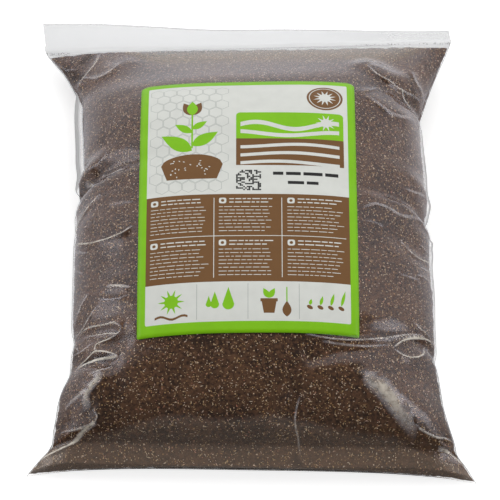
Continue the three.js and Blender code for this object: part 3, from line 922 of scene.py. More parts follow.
def compost_material():
    """Dark moist crumbs with brown ones between them, paler at the foot by painted light, under specks
    that are round spots of cells, and dark in the shaded pockets."""
    material, n = new_material("compost")
    place = n.place()
    crumbs = n.noise(place, 420, 4, 0.65) * 0.75 + n.noise(place, 30, 2, 0.5) * 0.25
    dark, light = (tuple(share * value for value in colours().compost) for share in CRUMB_SHADES)
    brown = n.mix(crumbs.above(0.38, 0.62), dark, light)
    # Painted light: the compost is paler towards the lit lip at the foot
    brown = n.mix((1 - n.part(place, 1).above(*FOOT_LIGHT_FADE)) * FOOT_LIGHT_SHARE, brown, FOOT_LIGHT_TINT)
    for scale, spot, share in SPECKS:
        cells = n.cells(place, scale)
        picked = n.add("ShaderNodeSeparateColor", None, cells.beside(1))
        speck = n.add("ShaderNodeValToRGB", {"stops": FIBRE_TONES}, picked.beside(1))
        shown = (1 - cells.above(0.5 * spot, spot)) * picked.above(1 - share, 1.05 - share)
        brown = n.mix(shown * COVERED, brown, speck)
    brown = n.mix(n.attribute("shade") * COVERED, brown, POCKET_TINT)
    height = n.noise(place, 700, 4, 0.7) + n.noise(place, 240, 2, 0.5)
    bump = n.bump(height, 0.0010)
    n.principled(Base_Color=brown, Roughness=0.85, Specular_IOR_Level=0.15, Normal=bump)
    return material


def fibre_material():
    """Dry fibres: each has a colour of its own, from the ramp by its tone, under a dark grain."""
    material, n = new_material("fibres")
    ramp = n.add("ShaderNodeValToRGB", {"stops": FIBRE_TONES}, n.attribute("tone"))
    grain = n.noise(n.place(), 2500, 2, 0.5)
    colour = n.mix(grain.above(0.3, 0.7) * 0.35, ramp, (0.05, 0.03, 0.02))
    n.principled(Base_Color=colour, Roughness=0.7, Normal=n.bump(grain, 0.0002))
    return material


INK_MOTTLE = 0.93


def print_material(name, colour):
    """Printed paper label: flat ink with faint mottling under a thin gloss."""
    material, n = new_material(name)
    place = n.place()
    mottle = n.noise(place, 90, 4, 0.6).above(0.3, 0.8)
    ink = n.mix(mottle, tuple(colour), tuple(INK_MOTTLE * value for value in colour))
    bump = n.bump(n.noise(place, 25, 2, 0.5) * 4 + n.noise(place, 2600, 2, 0.5) * 0.1, 0.0002)
    n.principled(Base_Color=ink, Roughness=0.38, Specular_IOR_Level=0.25, Normal=bump)
    return material


# Film

FILM_COLUMNS = 236
FILM_ROWS = 285
FILM_MIRROR = 0.068
LINE_NAMES = ("line_even", "line_odd")
# Haze of each part of the film; the lip's is a painted reflection, not haze
HAZE_AND_REFLECTION = {"filled": 0.002, "header": 0.46, "strip": 0.60, "side": 0.80, "band": 0.42, "lip": 0.05}
# Band below the head weld: how far it reaches, its ends across and how fast it fades there
BAND_REACH = 0.011
BAND_ENDS = (-0.66, 0.92)
BAND_FADE = 0.2
# Veil of the lip, a painted reflection: its length in the middle, how much of it each side lacks at
# the corner, the rise and the turns of its wavy edge, and how soft that edge is
LIP_REFLECTION = 0.0185
LIP_LACK = (0.55, 0.90)
LIP_WAVE = (0.0012, 11)
LIP_FADE = 0.003
# Dust in the head weld: how far below the weld's edge its line lies and how wide it is, on the
# right and the left, and where across it sets in and over how much
DUST_LINE = {"right": (0.0, 0.0009), "left": (0.003, 0.0025)}
DUST_START = {"right": (0.2, 0.6), "left": (0.82, 0.10)}


def film_haze_and_reflection(places, lengths):
    """Haze is high where the film lies double, in the header and the side welds, less in the strip
    beyond the filling, a band exp(-d / reach) below the head weld, away from its corners, and a
    painted reflection on the lip, a veil that ends at length (1 - lack u^2), with a wave in it."""
    end = sizes().body_length - END_WELD
    inside = np.clip(places, -1, 1)
    middle = smooth((inside - BAND_ENDS[0]) / BAND_FADE) * smooth((BAND_ENDS[1] - inside) / BAND_FADE)
    haze = HAZE_AND_REFLECTION["filled"] + HAZE_AND_REFLECTION["band"] * middle * np.exp(-np.maximum(end - lengths, 0) / BAND_REACH)
    reflection_end = LIP_REFLECTION * (1 - np.where(inside < 0, *LIP_LACK) * inside**2)
    reflection_end = reflection_end + LIP_WAVE[0] * np.sin(LIP_WAVE[1] * inside)
    haze = haze + HAZE_AND_REFLECTION["lip"] * (1 - smooth((lengths - reflection_end) / LIP_FADE))
    haze = np.where(lengths > compost_ends(inside)[1], HAZE_AND_REFLECTION["strip"], haze)
    haze = np.where(np.abs(places) > 1, HAZE_AND_REFLECTION["side"], haze)
    return np.where(lengths > end, HAZE_AND_REFLECTION["header"], haze)


def weld_dust(places, lengths):
    """Crumbs caught in the head weld: exp(-(d / width)^2) from a line along its right part, and from
    one below its left corner, each from a smooth step outwards."""
    end = sizes().body_length - END_WELD
    dust = 0
    for name, outwards in (("right", places), ("left", -places)):
        below, width = DUST_LINE[name]
        start, over = DUST_START[name]
        line = np.exp(-(((lengths - end + below) / width) ** 2))
        dust = dust + line * smooth((np.clip(outwards, -1, 1) - start) / over)
    return dust


class BAG_OT_film(bpy.types.Operator):
    """Clear film tube with its welds and header"""

    bl_idname = "bag.film"
    bl_label = "Film"

    def execute(self, context):
        places = film_places(FILM_COLUMNS, FILM_ROWS)
        upper, under, lines = film_sheets(*places)
        rows, columns = upper.shape[:2]
        points = np.concatenate([upper.reshape(-1, 3), under[::2, ::2].reshape(-1, 3)])
        film = make_piece("film", points, film_faces(rows, columns), [film_material()])
        haze, dust, shade = film_haze_and_reflection(*places), weld_dust(*places), pocket_shade(upper[..., :2])
        for name, layer, kept in (("haze", haze, 1), ("dust", dust, 0), ("shade", shade, 0)):
            point_attribute(film, name, np.concatenate([layer.ravel(), layer[::2, ::2].ravel() * kept]))
        below = np.tile([LINE_FAR, 0.0, 0.0], (len(points) - rows * columns, 1))
        for name, layer in zip(LINE_NAMES, lines):
            point_attribute(film, name, np.concatenate([layer.reshape(-1, 3), below]), "FLOAT_VECTOR")
        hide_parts("film_bag")
        return {"FINISHED"}


# Filling

COMPOST_COLUMNS = 190
COMPOST_ROWS = 240
COMPOST_GAP = 0.0007
COMPOST_GRAIN = 0.0007
# Room between the filling and the welds: at the foot, and at the head in the middle, along the right
# half and at the left corner, and where across the last two set in and over how much
COMPOST_MARGIN = (0.0003, 0.0010, 0.0038, 0.0065)
RIGHT_FALL = (-0.2, 0.5)
CORNER_FALL = (0.70, 0.30)
COMPOST_SIDE = 0.996
# Grains of the filling's surface: (cell, seed, lowest value, share of the whole)
GRAINS = ((0.0035, 1, -0.2, 1.0), (0.0018, 2, -0.3, 0.7))
# Specks in the compost's colour: (cells a metre, radius in cells, share of the cells)
SPECKS = ((900.0, 0.38, 0.20), (480.0, 0.28, 0.26))


def compost_ends(across):
    """First and last length of the filling: its head end falls back along the right half, and
    straight towards the left corner."""
    foot, middle, right, corner = COMPOST_MARGIN
    back = lerp(middle, right, smooth((across - RIGHT_FALL[0]) / RIGHT_FALL[1]))
    back = back + (corner - middle) * np.clip((-across - CORNER_FALL[0]) / CORNER_FALL[1], 0, 1)
    return FOOT_WELD + foot + 0 * across, sizes().body_length - END_WELD - back


def compost_sheets():
    """Grids of the filling's upper and under side: the film's, less a gap and a grain."""
    s = sizes()
    across = COMPOST_SIDE * (2 * crowded(COMPOST_COLUMNS) - 1)
    across, rows = np.meshgrid(across, crowded(COMPOST_ROWS))
    low, high = compost_ends(across)
    lengths = lerp(low, high, rows)
    point, up, down = filled_point(across, lengths / s.body_length)
    upper, under = point.copy(), point.copy()
    upper[..., 2] += up
    under[..., 2] -= down
    upper -= grid_normals(upper) * (COMPOST_GAP + COMPOST_GRAIN * grain(upper))[..., None]
    under += grid_normals(under) * (COMPOST_GAP + COMPOST_GRAIN * grain(under + 0.5))[..., None]
    return upper, under


def grain(points):
    """Two sizes of noise, each cut off on its low side: a sum of share max(noise, lowest)."""
    return sum(share * np.maximum(noise(points, cell, seed), low) for cell, seed, low, share in GRAINS)


class BAG_OT_compost(bpy.types.Operator):
    """Filling of compost, pressed against the film"""

    bl_idname = "bag.compost"
    bl_label = "Compost"

    def execute(self, context):
        upper, under = compost_sheets()
        rows, columns = upper.shape[:2]
        points = np.concatenate([upper.reshape(-1, 3), under.reshape(-1, 3)])
        faces = closed_faces(rows, columns)
        compost = make_piece("compost_filling", points, faces, [compost_material()])
        shade = pocket_shade(upper[..., :2])
        point_attribute(compost, "shade", np.concatenate([shade.ravel(), shade.ravel() * 0]))
        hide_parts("compost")
        return {"FINISHED"}


# Fibres: tries for each, share of them on the underside, step of the slopes in shares, the part of
# the areas that is taken as full, and a direction that no normal has
FIBRE_TRIES = 3
FIBRES_BELOW = 0.25
SLOPE_STEP = 0.002
FULL_AREA = 0.97
ASLANT = (0.31, 0.95, 0.07)


def scattered(count, seed):
    """Points spread evenly by area over both sides of the filling, fewer in the shaded pockets, with
    normals and a random generator to go on with."""
    random = np.random.default_rng(seed)
    tries = FIBRE_TRIES * count
    across = random.uniform(-COMPOST_SIDE, COMPOST_SIDE, tries)
    low, high = compost_ends(across)
    along = random.uniform(low, high) / sizes().body_length
    below = random.random(tries) < FIBRES_BELOW
    steps = ((0, 0), (SLOPE_STEP, 0), (0, SLOPE_STEP))
    places = [filled_place(across + a, along + b, below) for a, b in steps]
    normal = np.cross(places[1] - places[0], places[2] - places[0])
    area = np.linalg.norm(normal, axis=-1)
    lit = 1 - np.where(below, 0, pocket_shade(places[0][:, :2]))
    keep = random.random(tries) * np.quantile(area, FULL_AREA) < area * lit
    chosen = np.flatnonzero(keep)[:count]
    normal = normal[chosen] / area[chosen, None] * np.where(below[chosen], -1, 1)[:, None]
    return places[0][chosen], normal, random


def filled_place(across, along, below):
    """Point of the filling's upper side, or of its underside where below is true."""
    point, up, down = filled_point(np.clip(across, -1, 1), np.clip(along, 0, 1))
    point = point.copy()
    point[..., 2] += np.where(below, -down, up)
    return point


def tangents(normal, angle):
    """Two unit vectors square to each normal and to each other, turned about it by the angle."""
    first = np.cross(normal, np.array(ASLANT))
    first /= np.linalg.norm(first, axis=-1, keepdims=True)
    second = np.cross(normal, first)
    turn = angle[:, None]
    return first * np.cos(turn) + second * np.sin(turn), second * np.cos(turn) - first * np.sin(turn)


SPINDLE_FACES = np.array(
    [[0, 1, 2], [0, 2, 3], [0, 3, 4], [0, 4, 1], [5, 2, 1], [5, 3, 2], [5, 4, 3], [5, 1, 4]]
)
FIBRE_DEPTH = 0.00045
# Fibre's measures in mm: half length at least and what a long one adds, half width, half thickness,
# and its bend as a share of the half length
FIBRE_HALF = (0.40, 1.1)
FIBRE_WIDTH = (0.22, 0.45)
FIBRE_THICKNESS = (0.10, 0.22)
FIBRE_BEND = 0.25
FIBRE_TONES = (
    (0.0, (0.34, 0.17, 0.065)),
    (0.3, (0.55, 0.34, 0.14)),
    (0.6, (0.73, 0.53, 0.32)),
    (0.85, (0.88, 0.72, 0.56)),
    (1.0, (0.54, 0.19, 0.10)),
)


class BAG_OT_fibres(bpy.types.Operator):
    """Light fibres and chips that lie in the compost's surface"""

    bl_idname = "bag.fibres"
    bl_label = "Fibres"

    def execute(self, context):
        centre, normal, random = scattered(sizes().fibres, 3)
        count = len(centre)
        along, aside = tangents(normal, random.uniform(0, math.tau, count))
        half = (FIBRE_HALF[0] + FIBRE_HALF[1] * random.random(count) ** 4)[:, None] * MM
        width = random.uniform(*FIBRE_WIDTH, count)[:, None] * MM
        depth = random.uniform(*FIBRE_THICKNESS, count)[:, None] * MM
        bend = random.normal(0, FIBRE_BEND, count)[:, None] * half
        middle = centre - normal * FIBRE_DEPTH + aside * bend
        points = np.stack([
            middle - along * half - aside * bend,
            middle + aside * width,
            middle + normal * depth,
            middle - aside * width,
            middle - normal * depth,
            middle + along * half - aside * bend,
        ], 1)
        faces = (SPINDLE_FACES[None] + 6 * np.arange(count)[:, None, None]).reshape(-1, 3)
        fibres = make_piece("fibres", points.reshape(-1, 3), faces, [fibre_material()])
        point_attribute(fibres, "tone", np.repeat(random.random(count), 6))
        return {"FINISHED"}


# Label: places are (across from the middle, down from the head end) in mm

LABEL_HALF = 74.0
LABEL_DOWN = 210.0
LABEL_THICKNESS = 0.00012
# Longest edge of an outline in mm, and the mesh that fills the sheet: how many points across and
# down, and its margin in mm
LONGEST_EDGE = 3.5
MESH_POINTS = (30, 42)
MESH_MARGIN = 3.0
GREEN, BROWN, PAPER, BLACK, GREY = range(5)


def box(left, top, right, bottom):
    """Corners of a box."""
    return np.array([[left, bottom], [right, bottom], [right, top], [left, top]], dtype=float)


def rounded_box(left, top, right, bottom, radius, steps=6, low=None):
    """Quarter circles round the four corners, in order, with a radius of their own at the bottom."""
    low = radius if low is None else low
    turn = np.linspace(0, math.pi / 2, steps)
    arc = np.stack([np.cos(turn), np.sin(turn)], -1)
    across = arc @ np.array([[0, 1], [-1, 0]])
    return np.concatenate([
        low * arc + (right - low, bottom - low),
        low * across + (left + low, bottom - low),
        -radius * arc + (left + radius, top + radius),
        -radius * across + (right - radius, top + radius),
    ])


def ellipse(x, y, wide, high=None, steps=28, turn=0.0):
    """Outline (wide cos t, high sin t), turned, about a middle."""
    high = wide if high is None else high
    t = np.linspace(0, math.tau, steps, endpoint=False)
    return turned(np.stack([wide * np.cos(t), high * np.sin(t)], -1), turn) + (x, y)


def turned(points, turn):
    """Points turned about the origin."""
    c, s = math.cos(turn), math.sin(turn)
    return points @ np.array([[c, s], [-s, c]])


def leaf(x, y, length, width, turn, steps=12):
    """Two bows of sin(pi t) between the stem end and the tip."""
    t = np.linspace(0, 1, steps)
    bow = width / 2 * np.sin(math.pi * t**0.8)
    right = np.stack([bow, -length * t], -1)
    left = np.stack([-bow[-2:0:-1], -length * t[-2:0:-1]], -1)
    return turned(np.concatenate([right, left]), turn) + (x, y)


def ribbon(x, y, width):
    """Band of even width up and down round a line y(x), as one closed outline."""
    return np.concatenate([np.stack([x, y - width / 2], -1), np.stack([x, y + width / 2], -1)[::-1]])


def word_bars(ink, left, top, widths, height, gap):
    """A row of bars as long as the widths, with gaps between them."""
    starts = left + np.cumsum([0] + [w + gap for w in widths[:-1]])
    return [(ink, box(start, top, start + w, top + height)) for start, w in zip(starts, widths)]


def honeycomb(left, top, right, bottom, side, stroke):
    """Outlines of hexagons: a grey one with a paper one inside it, in offset rows."""
    shapes = []
    t = np.arange(6) * math.tau / 6 + math.pi / 6
    ring = np.stack([np.cos(t), np.sin(t)], -1)
    step_x, step_y = side * math.sqrt(3), side * 1.5
    for j in range(int((bottom - top) / step_y)):
        for i in range(int((right - left) / step_x) - j % 2):
            centre = (left + step_x * (i + 0.5 + 0.5 * (j % 2)), top + side + step_y * j)
            shapes.append((GREY, ring * (side - 0.5 * stroke) + centre))
            shapes.append((PAPER, ring * (side - 1.5 * stroke) + centre))
    return shapes


def sun(x, y, radius, ink, rays=12):
    """Disc with narrow leaves for rays."""
    shapes = [(ink, ellipse(x, y, radius))]
    for k in range(rays):
        shapes.append((ink, leaf(x, y, radius * 1.95, radius * 0.36, math.tau * (k + 0.5) / rays, 5)))
    return shapes


def badge(x, y, radius):
    """Brown disc with a paper ring and a small sun."""
    rings = ((BROWN, 1), (PAPER, 0.88), (BROWN, 0.83))
    shapes = [(ink, ellipse(x, y, radius * share, steps=48)) for ink, share in rings]
    return shapes + sun(x, y, radius * 0.33, PAPER)


def flower(x, y):
    """Green stem and four leaves under a bud, in a brown mound with pale specks."""
    shapes = [(GREEN, box(x - 0.6, y - 29, x + 0.6, y + 1))]
    for side, height, size in ((-1, 3, 25), (1, -1, 21), (-1, -12, 14), (1, -15, 12)):
        shapes.append((GREEN, leaf(x, y + height, size, size * 0.42, side)))
    for turn, ink in ((-0.45, BROWN), (0.45, BROWN), (0.0, GREEN)):
        shapes.append((ink, leaf(x, y - 27, 14, 7.5, turn)))
    mound = np.linspace(-1, 1, 25)
    top = np.stack([x + 21 * mound, y + 15 - 9 * np.sqrt(1 - mound**2)], -1)
    shapes.append((BROWN, np.concatenate([top, [[x + 17, y + 27], [x - 17, y + 27]]])))
    random = np.random.default_rng(11)
    for _ in range(26):
        place = random.uniform((-15, 11), (15, 25)) + (x, y)
        shapes.append((PAPER, ellipse(*place, 0.7, 0.4, 6, random.uniform(0, math.pi))))
    return shapes


def landscape(left, top, right, bottom):
    """Green block with a paper sun and hills over a brown block with paper furrows."""
    middle = top + 0.5 * (bottom - top)
    shapes = [(GREEN, rounded_box(left, top, right, bottom, 3)), (BROWN, box(left, middle, right, bottom))]
    x = np.linspace(left + 3, right - 3, 40)
    for k, (rise, width) in enumerate(((7.5, 3.6), (4.5, 3.2))):
        hills = middle - 4.5 - 6.5 * (1 - k) - rise * 0.4 * np.sin((x - left) / (8.5 + 3 * k) + 1.7 * k)
        shapes.append((PAPER, ribbon(x, hills, width)))
    shapes += sun(right - 12, top + 8.5, 3.6, PAPER, 10)
    for k in range(3):
        furrow = middle + 6 + 7.2 * k + 1.2 * np.cos((x - left) / 14 + 0.6 * k)
        shapes.append((PAPER, ribbon(x, furrow, 2.6)))
    return shapes


def speckled_square(left, top, side, cells):
    """Random black cells in a square, with hairlines between them."""
    random = np.random.default_rng(5)
    size = side / cells
    shapes = []
    for i, j in np.argwhere(random.random((cells, cells)) < 0.5):
        ends = left + size * (i + 0.96), top + size * (j + 0.96)
        shapes.append((BLACK, box(left + size * i, top + size * j, *ends)))
    return shapes


def text_cell(left, top, right, lines, random):
    """A small mark, two bold rows and thin rows of word bars."""
    shapes = [(PAPER, rounded_box(left, top, left + 5, top + 4.6, 1.2, 3))]
    shapes.append((BROWN, ellipse(left + 2.5, top + 2.3, 1.2, 1.2, 8)))
    for row in range(lines):
        inset, down, height = (7, 0.5, 0.80) if row < 2 else (0, 1.6, 0.46)
        room = right - (left + inset) - (random.uniform(0, 6) if row % 4 else 1)
        widths = []
        while sum(widths) + 1.1 * len(widths) < room - 3.0:
            widths.append(float(random.uniform(1.8, 6.0)))
        shapes += word_bars(PAPER, left + inset, top + down + 2.75 * row, widths, height, 0.9)
    return shapes


def pot(x, y, size):
    """Tapered pot with a rim."""
    foot, low = size * 0.7, y + 1.7 * size
    body = np.array([[x - size, y], [x + size, y], [x + foot, low], [x - foot, low]])
    rim = box(x - size * 1.15, y - size * 0.35, x + size * 1.15, y + size * 0.1)
    return [(BROWN, body), (BROWN, rim)]


def icons(top):
    """Four cells with lines between them: a sun over a wave of soil, drops, a pot with two leaves
    beside a spade, and four seedlings in a row."""
    y = top + 13
    shapes = [(GREY, box(x - 0.2, top + 1.5, x + 0.2, top + 26.5)) for x in (-34, 0, 34)]
    shapes += sun(-51, y, 4.6, GREEN, 10)
    soil = y + 11 - 1.2 * np.sin(np.linspace(0, 9, 12))
    shapes.append((BROWN, ribbon(np.linspace(-62, -40, 12), soil, 1.6)))
    for x, size in ((-22, 9), (-13, 12), (-26, 6)):
        bowl = ellipse(x, y + 3, size * 0.33, steps=20)[:11]
        shapes.append((GREEN, np.concatenate([bowl, [[x, y + 3 - size]]])))
    shapes += pot(14, y + 1, 5)
    shapes += [(GREEN, leaf(14, y - 1, 8, 4, turn)) for turn in (0.5, -0.5)]
    shapes += [(GREEN, box(25.4, y - 9, 26.2, y + 4)), (BROWN, leaf(25.8, y + 12, 11, 6, 0.0))]
    for k in range(4):
        shapes.append((BROWN, ellipse(41 + 7 * k, y + 5, 2.2, 1.3, 12, 0.5)))
        shapes.append((GREEN, leaf(41 + 7 * k, y + 3.5, 4.5 + 2.4 * k, 2.2, 0.25)))
    return shapes


def label_shapes():
    """(ink, outline) of every printed shape, each over the ones before it."""
    shapes = [(GREEN, rounded_box(-LABEL_HALF, 0, LABEL_HALF, LABEL_DOWN, LABEL_CORNER / MM, 8, 1.2))]
    shapes.append((PAPER, rounded_box(-68.5, 5.5, 68.5, 202, 1.0, 3)))
    shapes += honeycomb(-67, 8, -11, 104, 5.2, 0.36)
    shapes += flower(-38, 66)
    shapes += badge(53, 21.5, 12.5)
    shapes += landscape(-8, 37, 65.5, 82)
    shapes += speckled_square(-8, 86, 17, 14)
    shapes += word_bars(BLACK, 17, 87.5, [7, 10, 13, 9], 2.6, 1.8)
    shapes += word_bars(BLACK, 27, 95, [11, 8], 2.6, 1.8)
    shapes.append((BROWN, box(-68.5, 106, 68.5, 174)))
    random = np.random.default_rng(8)
    for i in range(3):
        for j in range(2):
            left, top = -65.5 + 46 * i, 109 + 33.5 * j
            shapes += text_cell(left, top, left + 39, 10, random)
    shapes += [(PAPER, box(x - 0.25, 109, x + 0.25, 171)) for x in (-22.8, 22.8)]
    shapes.append((PAPER, box(-66, 139.3, 66, 139.8)))
    return shapes + icons(174)


SKIN_ROUNDS = 8
SKIN_STEPS = 400


def skin_heights(x, y):
    """Height of the film's upper side over plan points: shares are corrected by the plan error
    over the length and the half width until they meet it."""
    s = sizes()
    along = y / s.body_length
    across = x / half_width(along)
    for _ in range(SKIN_ROUNDS):
        point, up, _ = filled_point(np.clip(across, -1, 1), np.clip(along, 0, 1))
        along = along + (y - point[..., 1]) / s.body_length
        across = across + (x - point[..., 0]) / (half_width(along) * filled_share(along, across))
    point, up, _ = filled_point(np.clip(across, -1, 1), np.clip(along, 0, 1))
    return point[..., 2] + FILM + up


def measured(start, end, height):
    """Plan coordinate as a function of the length measured along a line over the skin."""
    line = np.linspace(start, end, SKIN_STEPS)
    run = np.concatenate([[0], np.cumsum(np.hypot(np.diff(line), np.diff(height(line))))])
    return lambda length: np.interp(length, run, line)


def label_point(flat):
    """Lays (across, down) points in metres over the skin, by lengths measured over its middle."""
    s = sizes()
    along = measured(0, s.body_length - END_WELD, lambda y: skin_heights(0 * y, y))
    middle = float(along(LABEL_FROM_FOOT + s.label_length / 2))
    reach = float(half_width(np.array(0.5)) * filled_share(np.array(0.5)))
    outwards = measured(0, reach, lambda x: skin_heights(x, 0 * x + middle))
    x = np.sign(flat[:, 0]) * outwards(np.abs(flat[:, 0]))
    y = along(LABEL_FROM_FOOT + s.label_length - flat[:, 1])
    return np.stack([x, y, skin_heights(x, y) + LABEL_CLEARANCE], -1)


def divided(outline):
    """Outline run counter-clockwise, with even points added along each edge over the longest."""
    following = np.roll(outline, -1, axis=0)
    area = np.sum(outline[:, 0] * following[:, 1] - outline[:, 1] * following[:, 0])
    if area < 0:
        outline = outline[::-1]
        following = np.roll(outline, -1, axis=0)
    lengths = np.linalg.norm(following - outline, axis=-1)
    parts = np.maximum(np.ceil(lengths / LONGEST_EDGE), 1).astype(int)
    edge = np.repeat(np.arange(len(outline)), parts)
    step = np.arange(parts.sum()) - np.repeat(np.cumsum(parts) - parts, parts)
    share = (step / parts[edge])[:, None]
    return lerp(outline[edge], following[edge], share)


def label_mesh():
    """Triangles of the flat print: every shape's edges are kept, with a mesh of points between."""
    shapes = [(ink, divided(outline)) for ink, outline in label_shapes()]
    points = [Vector(p) for _, outline in shapes for p in outline.tolist()]
    faces, start = [], 0
    for _, outline in shapes:
        faces.append(list(range(start, start + len(outline))))
        start += len(outline)
    across = np.linspace(MESH_MARGIN - LABEL_HALF, LABEL_HALF - MESH_MARGIN, MESH_POINTS[0])
    down = np.linspace(MESH_MARGIN, LABEL_DOWN - MESH_MARGIN, MESH_POINTS[1])
    grid = np.stack(np.meshgrid(across, down), -1).reshape(-1, 2)
    points += [Vector(p) for p in grid.tolist()]
    flat, _, triangles, _, _, owners = delaunay_2d_cdt(points, [], faces, 1, 1e-4)
    inks = np.array([shapes[max(owner)][0] if owner else 0 for owner in owners])
    return np.array([list(p) for p in flat]), np.array(triangles), inks


class BAG_OT_label(bpy.types.Operator):
    """Paper label with its print, laid over the film"""

    bl_idname = "bag.label"
    bl_label = "Label"

    def execute(self, context):
        s, c = sizes(), colours()
        flat, triangles, inks = label_mesh()
        scale = np.array([s.label_width / (2 * LABEL_HALF), s.label_length / LABEL_DOWN])
        points = label_point(flat * scale)
        corners = points[triangles]
        up = np.cross(corners[:, 1] - corners[:, 0], corners[:, 2] - corners[:, 0])[:, 2] > 0
        triangles = np.where(up[:, None], triangles, triangles[:, ::-1])
        materials = [
            print_material("green_print", c.green),
            print_material("brown_print", c.brown),
            print_material("label_paper", c.paper),
            print_material("black_print", (0.014, 0.014, 0.014)),
            print_material("grey_print", (0.36, 0.38, 0.36)),
        ]
        label = make_piece("label_sheet", points, triangles, materials)
        label.data.polygons.foreach_set("material_index", inks.astype(np.int32))
        wall = label.modifiers.new("thickness", "SOLIDIFY")
        wall.thickness = LABEL_THICKNESS
        wall.offset = -1
        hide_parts("label")
        return {"FINISHED"}


# Stage

# Camera: its target and the pixel that falls on, distance, degrees above the horizon, focal length
# in pixels and side of the picture in pixels
TARGET = (-0.002, -0.02419, 0.091)
TARGET_PIXEL = (246.5, 207.0)
DISTANCE = 2.5
ELEVATION = 53.0
FOCUS_PIXELS = 3717.5
PICTURE = 500
# Floor: its height, half its side, its white for the camera, its own least level and what it gains
# backwards, between which y, and how much of it a mirror misses in front, from where to where
FLOOR_DROP = -0.0004
FLOOR_HALF = 4
FLOOR_WHITE = 1.27
FLOOR_LEVEL = (0.25, 0.55)
FLOOR_GAIN = (-0.45, 0.15)
FLOOR_LOSS = 0.9
FLOOR_FRONT = (-0.30, 0.0)
# Surroundings: least level and what light adds, and where it comes up behind and beside
WORLD_LEVEL = (0.08, 0.87)
WORLD_BEHIND = (0.0, 0.28)
WORLD_BESIDE = (0.10, 0.60)
# Lamp: its place, the point it faces, its side and its power in watts
LAMP_PLACE = (0.0, 0.05, 2.25)
LAMP_AIM = (0, 0, 0.04)
LAMP_SIZE = 1.6
LAMP_POWER = 17
# Bright patches of the surroundings: (direction, cosine of the edge, strength)
GLOWS = (
    ((-0.86, 0.15, 0.49), 0.90, 1.3),
    ((0.80, -0.25, 0.55), 0.90, 2.0),
)


def add_camera():
    """Camera on the target's line of sight, turned until the target falls on its pixel."""
    data = bpy.data.cameras.new("camera")
    data.sensor_width = 36.0
    data.lens = data.sensor_width * FOCUS_PIXELS / PICTURE
    data.clip_end = 50.0
    camera = linked("camera", data)
    rise = math.radians(ELEVATION)
    camera.location = Vector(TARGET) + DISTANCE * Vector((0, -math.cos(rise), math.sin(rise)))
    right = math.atan((PICTURE / 2 - TARGET_PIXEL[0]) / FOCUS_PIXELS)
    down = math.atan((PICTURE / 2 - TARGET_PIXEL[1]) / FOCUS_PIXELS)
    camera.rotation_euler = (math.pi / 2 - rise - down, 0, -right)
    bpy.context.scene.camera = camera


def add_world():
    """Pale surroundings: bright behind and beside, with two glows, and dark above and in front."""
    world = bpy.data.worlds.new("studio")
    world.use_nodes = True
    bpy.context.scene.world = world
    n = Nodes(world.node_tree)
    direction = n.add("ShaderNodeTexCoord", None, output=0)
    forward = n.part(direction, 1)
    aside = forward.beside(0)
    beside = (aside * aside).above(*WORLD_BESIDE)
    behind = forward.above(*WORLD_BEHIND)
    level = (behind + beside - behind * beside) * WORLD_LEVEL[1] + WORLD_LEVEL[0]
    for place, cosine, strength in GLOWS:
        settings = {"operation": "DOT_PRODUCT"}
        across = n.add("ShaderNodeVectorMath", settings, direction, place, output=1)
        level = level + across.above(cosine, 1.0) * strength
    seen = n.add("ShaderNodeLightPath", None, output=0)
    strength = level * (1 - seen) + seen
    light = n.add("ShaderNodeBackground", None, Color=(1, 1, 1, 1), Strength=strength)
    n.surface(light, "ShaderNodeOutputWorld")


def add_floor():
    """Floor just under the bag, darker towards the camera and more so in a mirror, that adds what it
    lacks to white for camera rays only."""
    material, n = new_material("floor")
    seen = n.add("ShaderNodeLightPath", None, output=0)
    mirrored = seen.beside(3)
    forward = n.part(n.place(), 1)
    level = forward.above(*FLOOR_GAIN) * FLOOR_LEVEL[1] + FLOOR_LEVEL[0]
    level = level * (1 - mirrored * (1 - forward.above(*FLOOR_FRONT)) * FLOOR_LOSS)
    shade = n.mix(level, (0, 0, 0), (1, 1, 1))
    body = n.add("ShaderNodeBsdfDiffuse", None, Color=shade)
    glow = n.add("ShaderNodeEmission", None, Color=(1, 1, 1, 1), Strength=(FLOOR_WHITE - level) * seen)
    n.surface(n.add("ShaderNodeAddShader", None, body, glow))
    mesh = bpy.data.meshes.new("floor")
    signs = ((-1, -1), (1, -1), (1, 1), (-1, 1))
    corners = [(FLOOR_HALF * a, FLOOR_HALF * b, FLOOR_DROP) for a, b in signs]
    mesh.from_pydata(corners, [], [[0, 1, 2, 3]])
    mesh.materials.append(material)
    linked("floor", mesh)


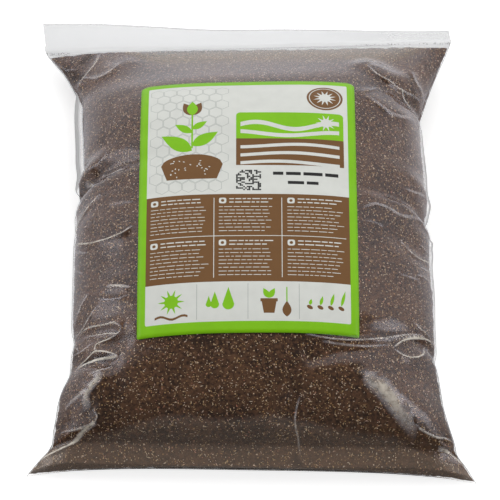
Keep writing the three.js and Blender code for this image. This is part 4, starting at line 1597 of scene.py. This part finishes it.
def add_lamp():
    """Square soft lamp that faces the bag and doesn't show in its gloss."""
    data = bpy.data.lights.new("lamp_top", "AREA")
    data.size = LAMP_SIZE
    data.energy = LAMP_POWER
    lamp = linked("lamp_top", data)
    lamp.location = LAMP_PLACE
    lamp.visible_glossy = False
    lamp.rotation_euler = (Vector(LAMP_AIM) - Vector(LAMP_PLACE)).to_track_quat("-Z", "Y").to_euler()


class BAG_OT_stage(bpy.types.Operator):
    """Floor, soft lamp, surroundings and camera"""

    bl_idname = "bag.stage"
    bl_label = "Stage"

    def execute(self, context):
        add_camera()
        add_world()
        add_floor()
        add_lamp()
        context.scene.view_settings.view_transform = "Standard"
        return {"FINISHED"}


class BAG_PT_panel(bpy.types.Panel):
    """Sidebar panel with the bag's sizes, colours and pieces"""

    bl_idname = "BAG_PT_panel"
    bl_label = "Bag of Compost"
    bl_space_type = "VIEW_3D"
    bl_region_type = "UI"
    bl_category = "Bag"

    def draw(self, context):
        for group in (context.scene.bag_sizes, context.scene.bag_colours):
            for name in group.__annotations__:
                self.layout.prop(group, name)
        for operator in OPERATORS:
            self.layout.operator(operator.bl_idname)


OPERATORS = (BAG_OT_film, BAG_OT_compost, BAG_OT_fibres, BAG_OT_label, BAG_OT_stage)
CLASSES = (BagSizes, BagColours, *OPERATORS, BAG_PT_panel)


def register():
    """Makes the classes known, and the scene's sizes and colours."""
    for each in CLASSES:
        bpy.utils.register_class(each)
    bpy.types.Scene.bag_sizes = bpy.props.PointerProperty(type=BagSizes)
    bpy.types.Scene.bag_colours = bpy.props.PointerProperty(type=BagColours)


def unregister():
    """Takes out what register() put in, last first."""
    del bpy.types.Scene.bag_colours
    del bpy.types.Scene.bag_sizes
    for each in reversed(CLASSES):
        bpy.utils.unregister_class(each)


def main():
    """Builds the pieces and the stage."""
    register()
    bpy.ops.bag.film()
    bpy.ops.bag.compost()
    bpy.ops.bag.fibres()
    bpy.ops.bag.label()
    bpy.ops.bag.stage()


if __name__ == "__main__":
    main()
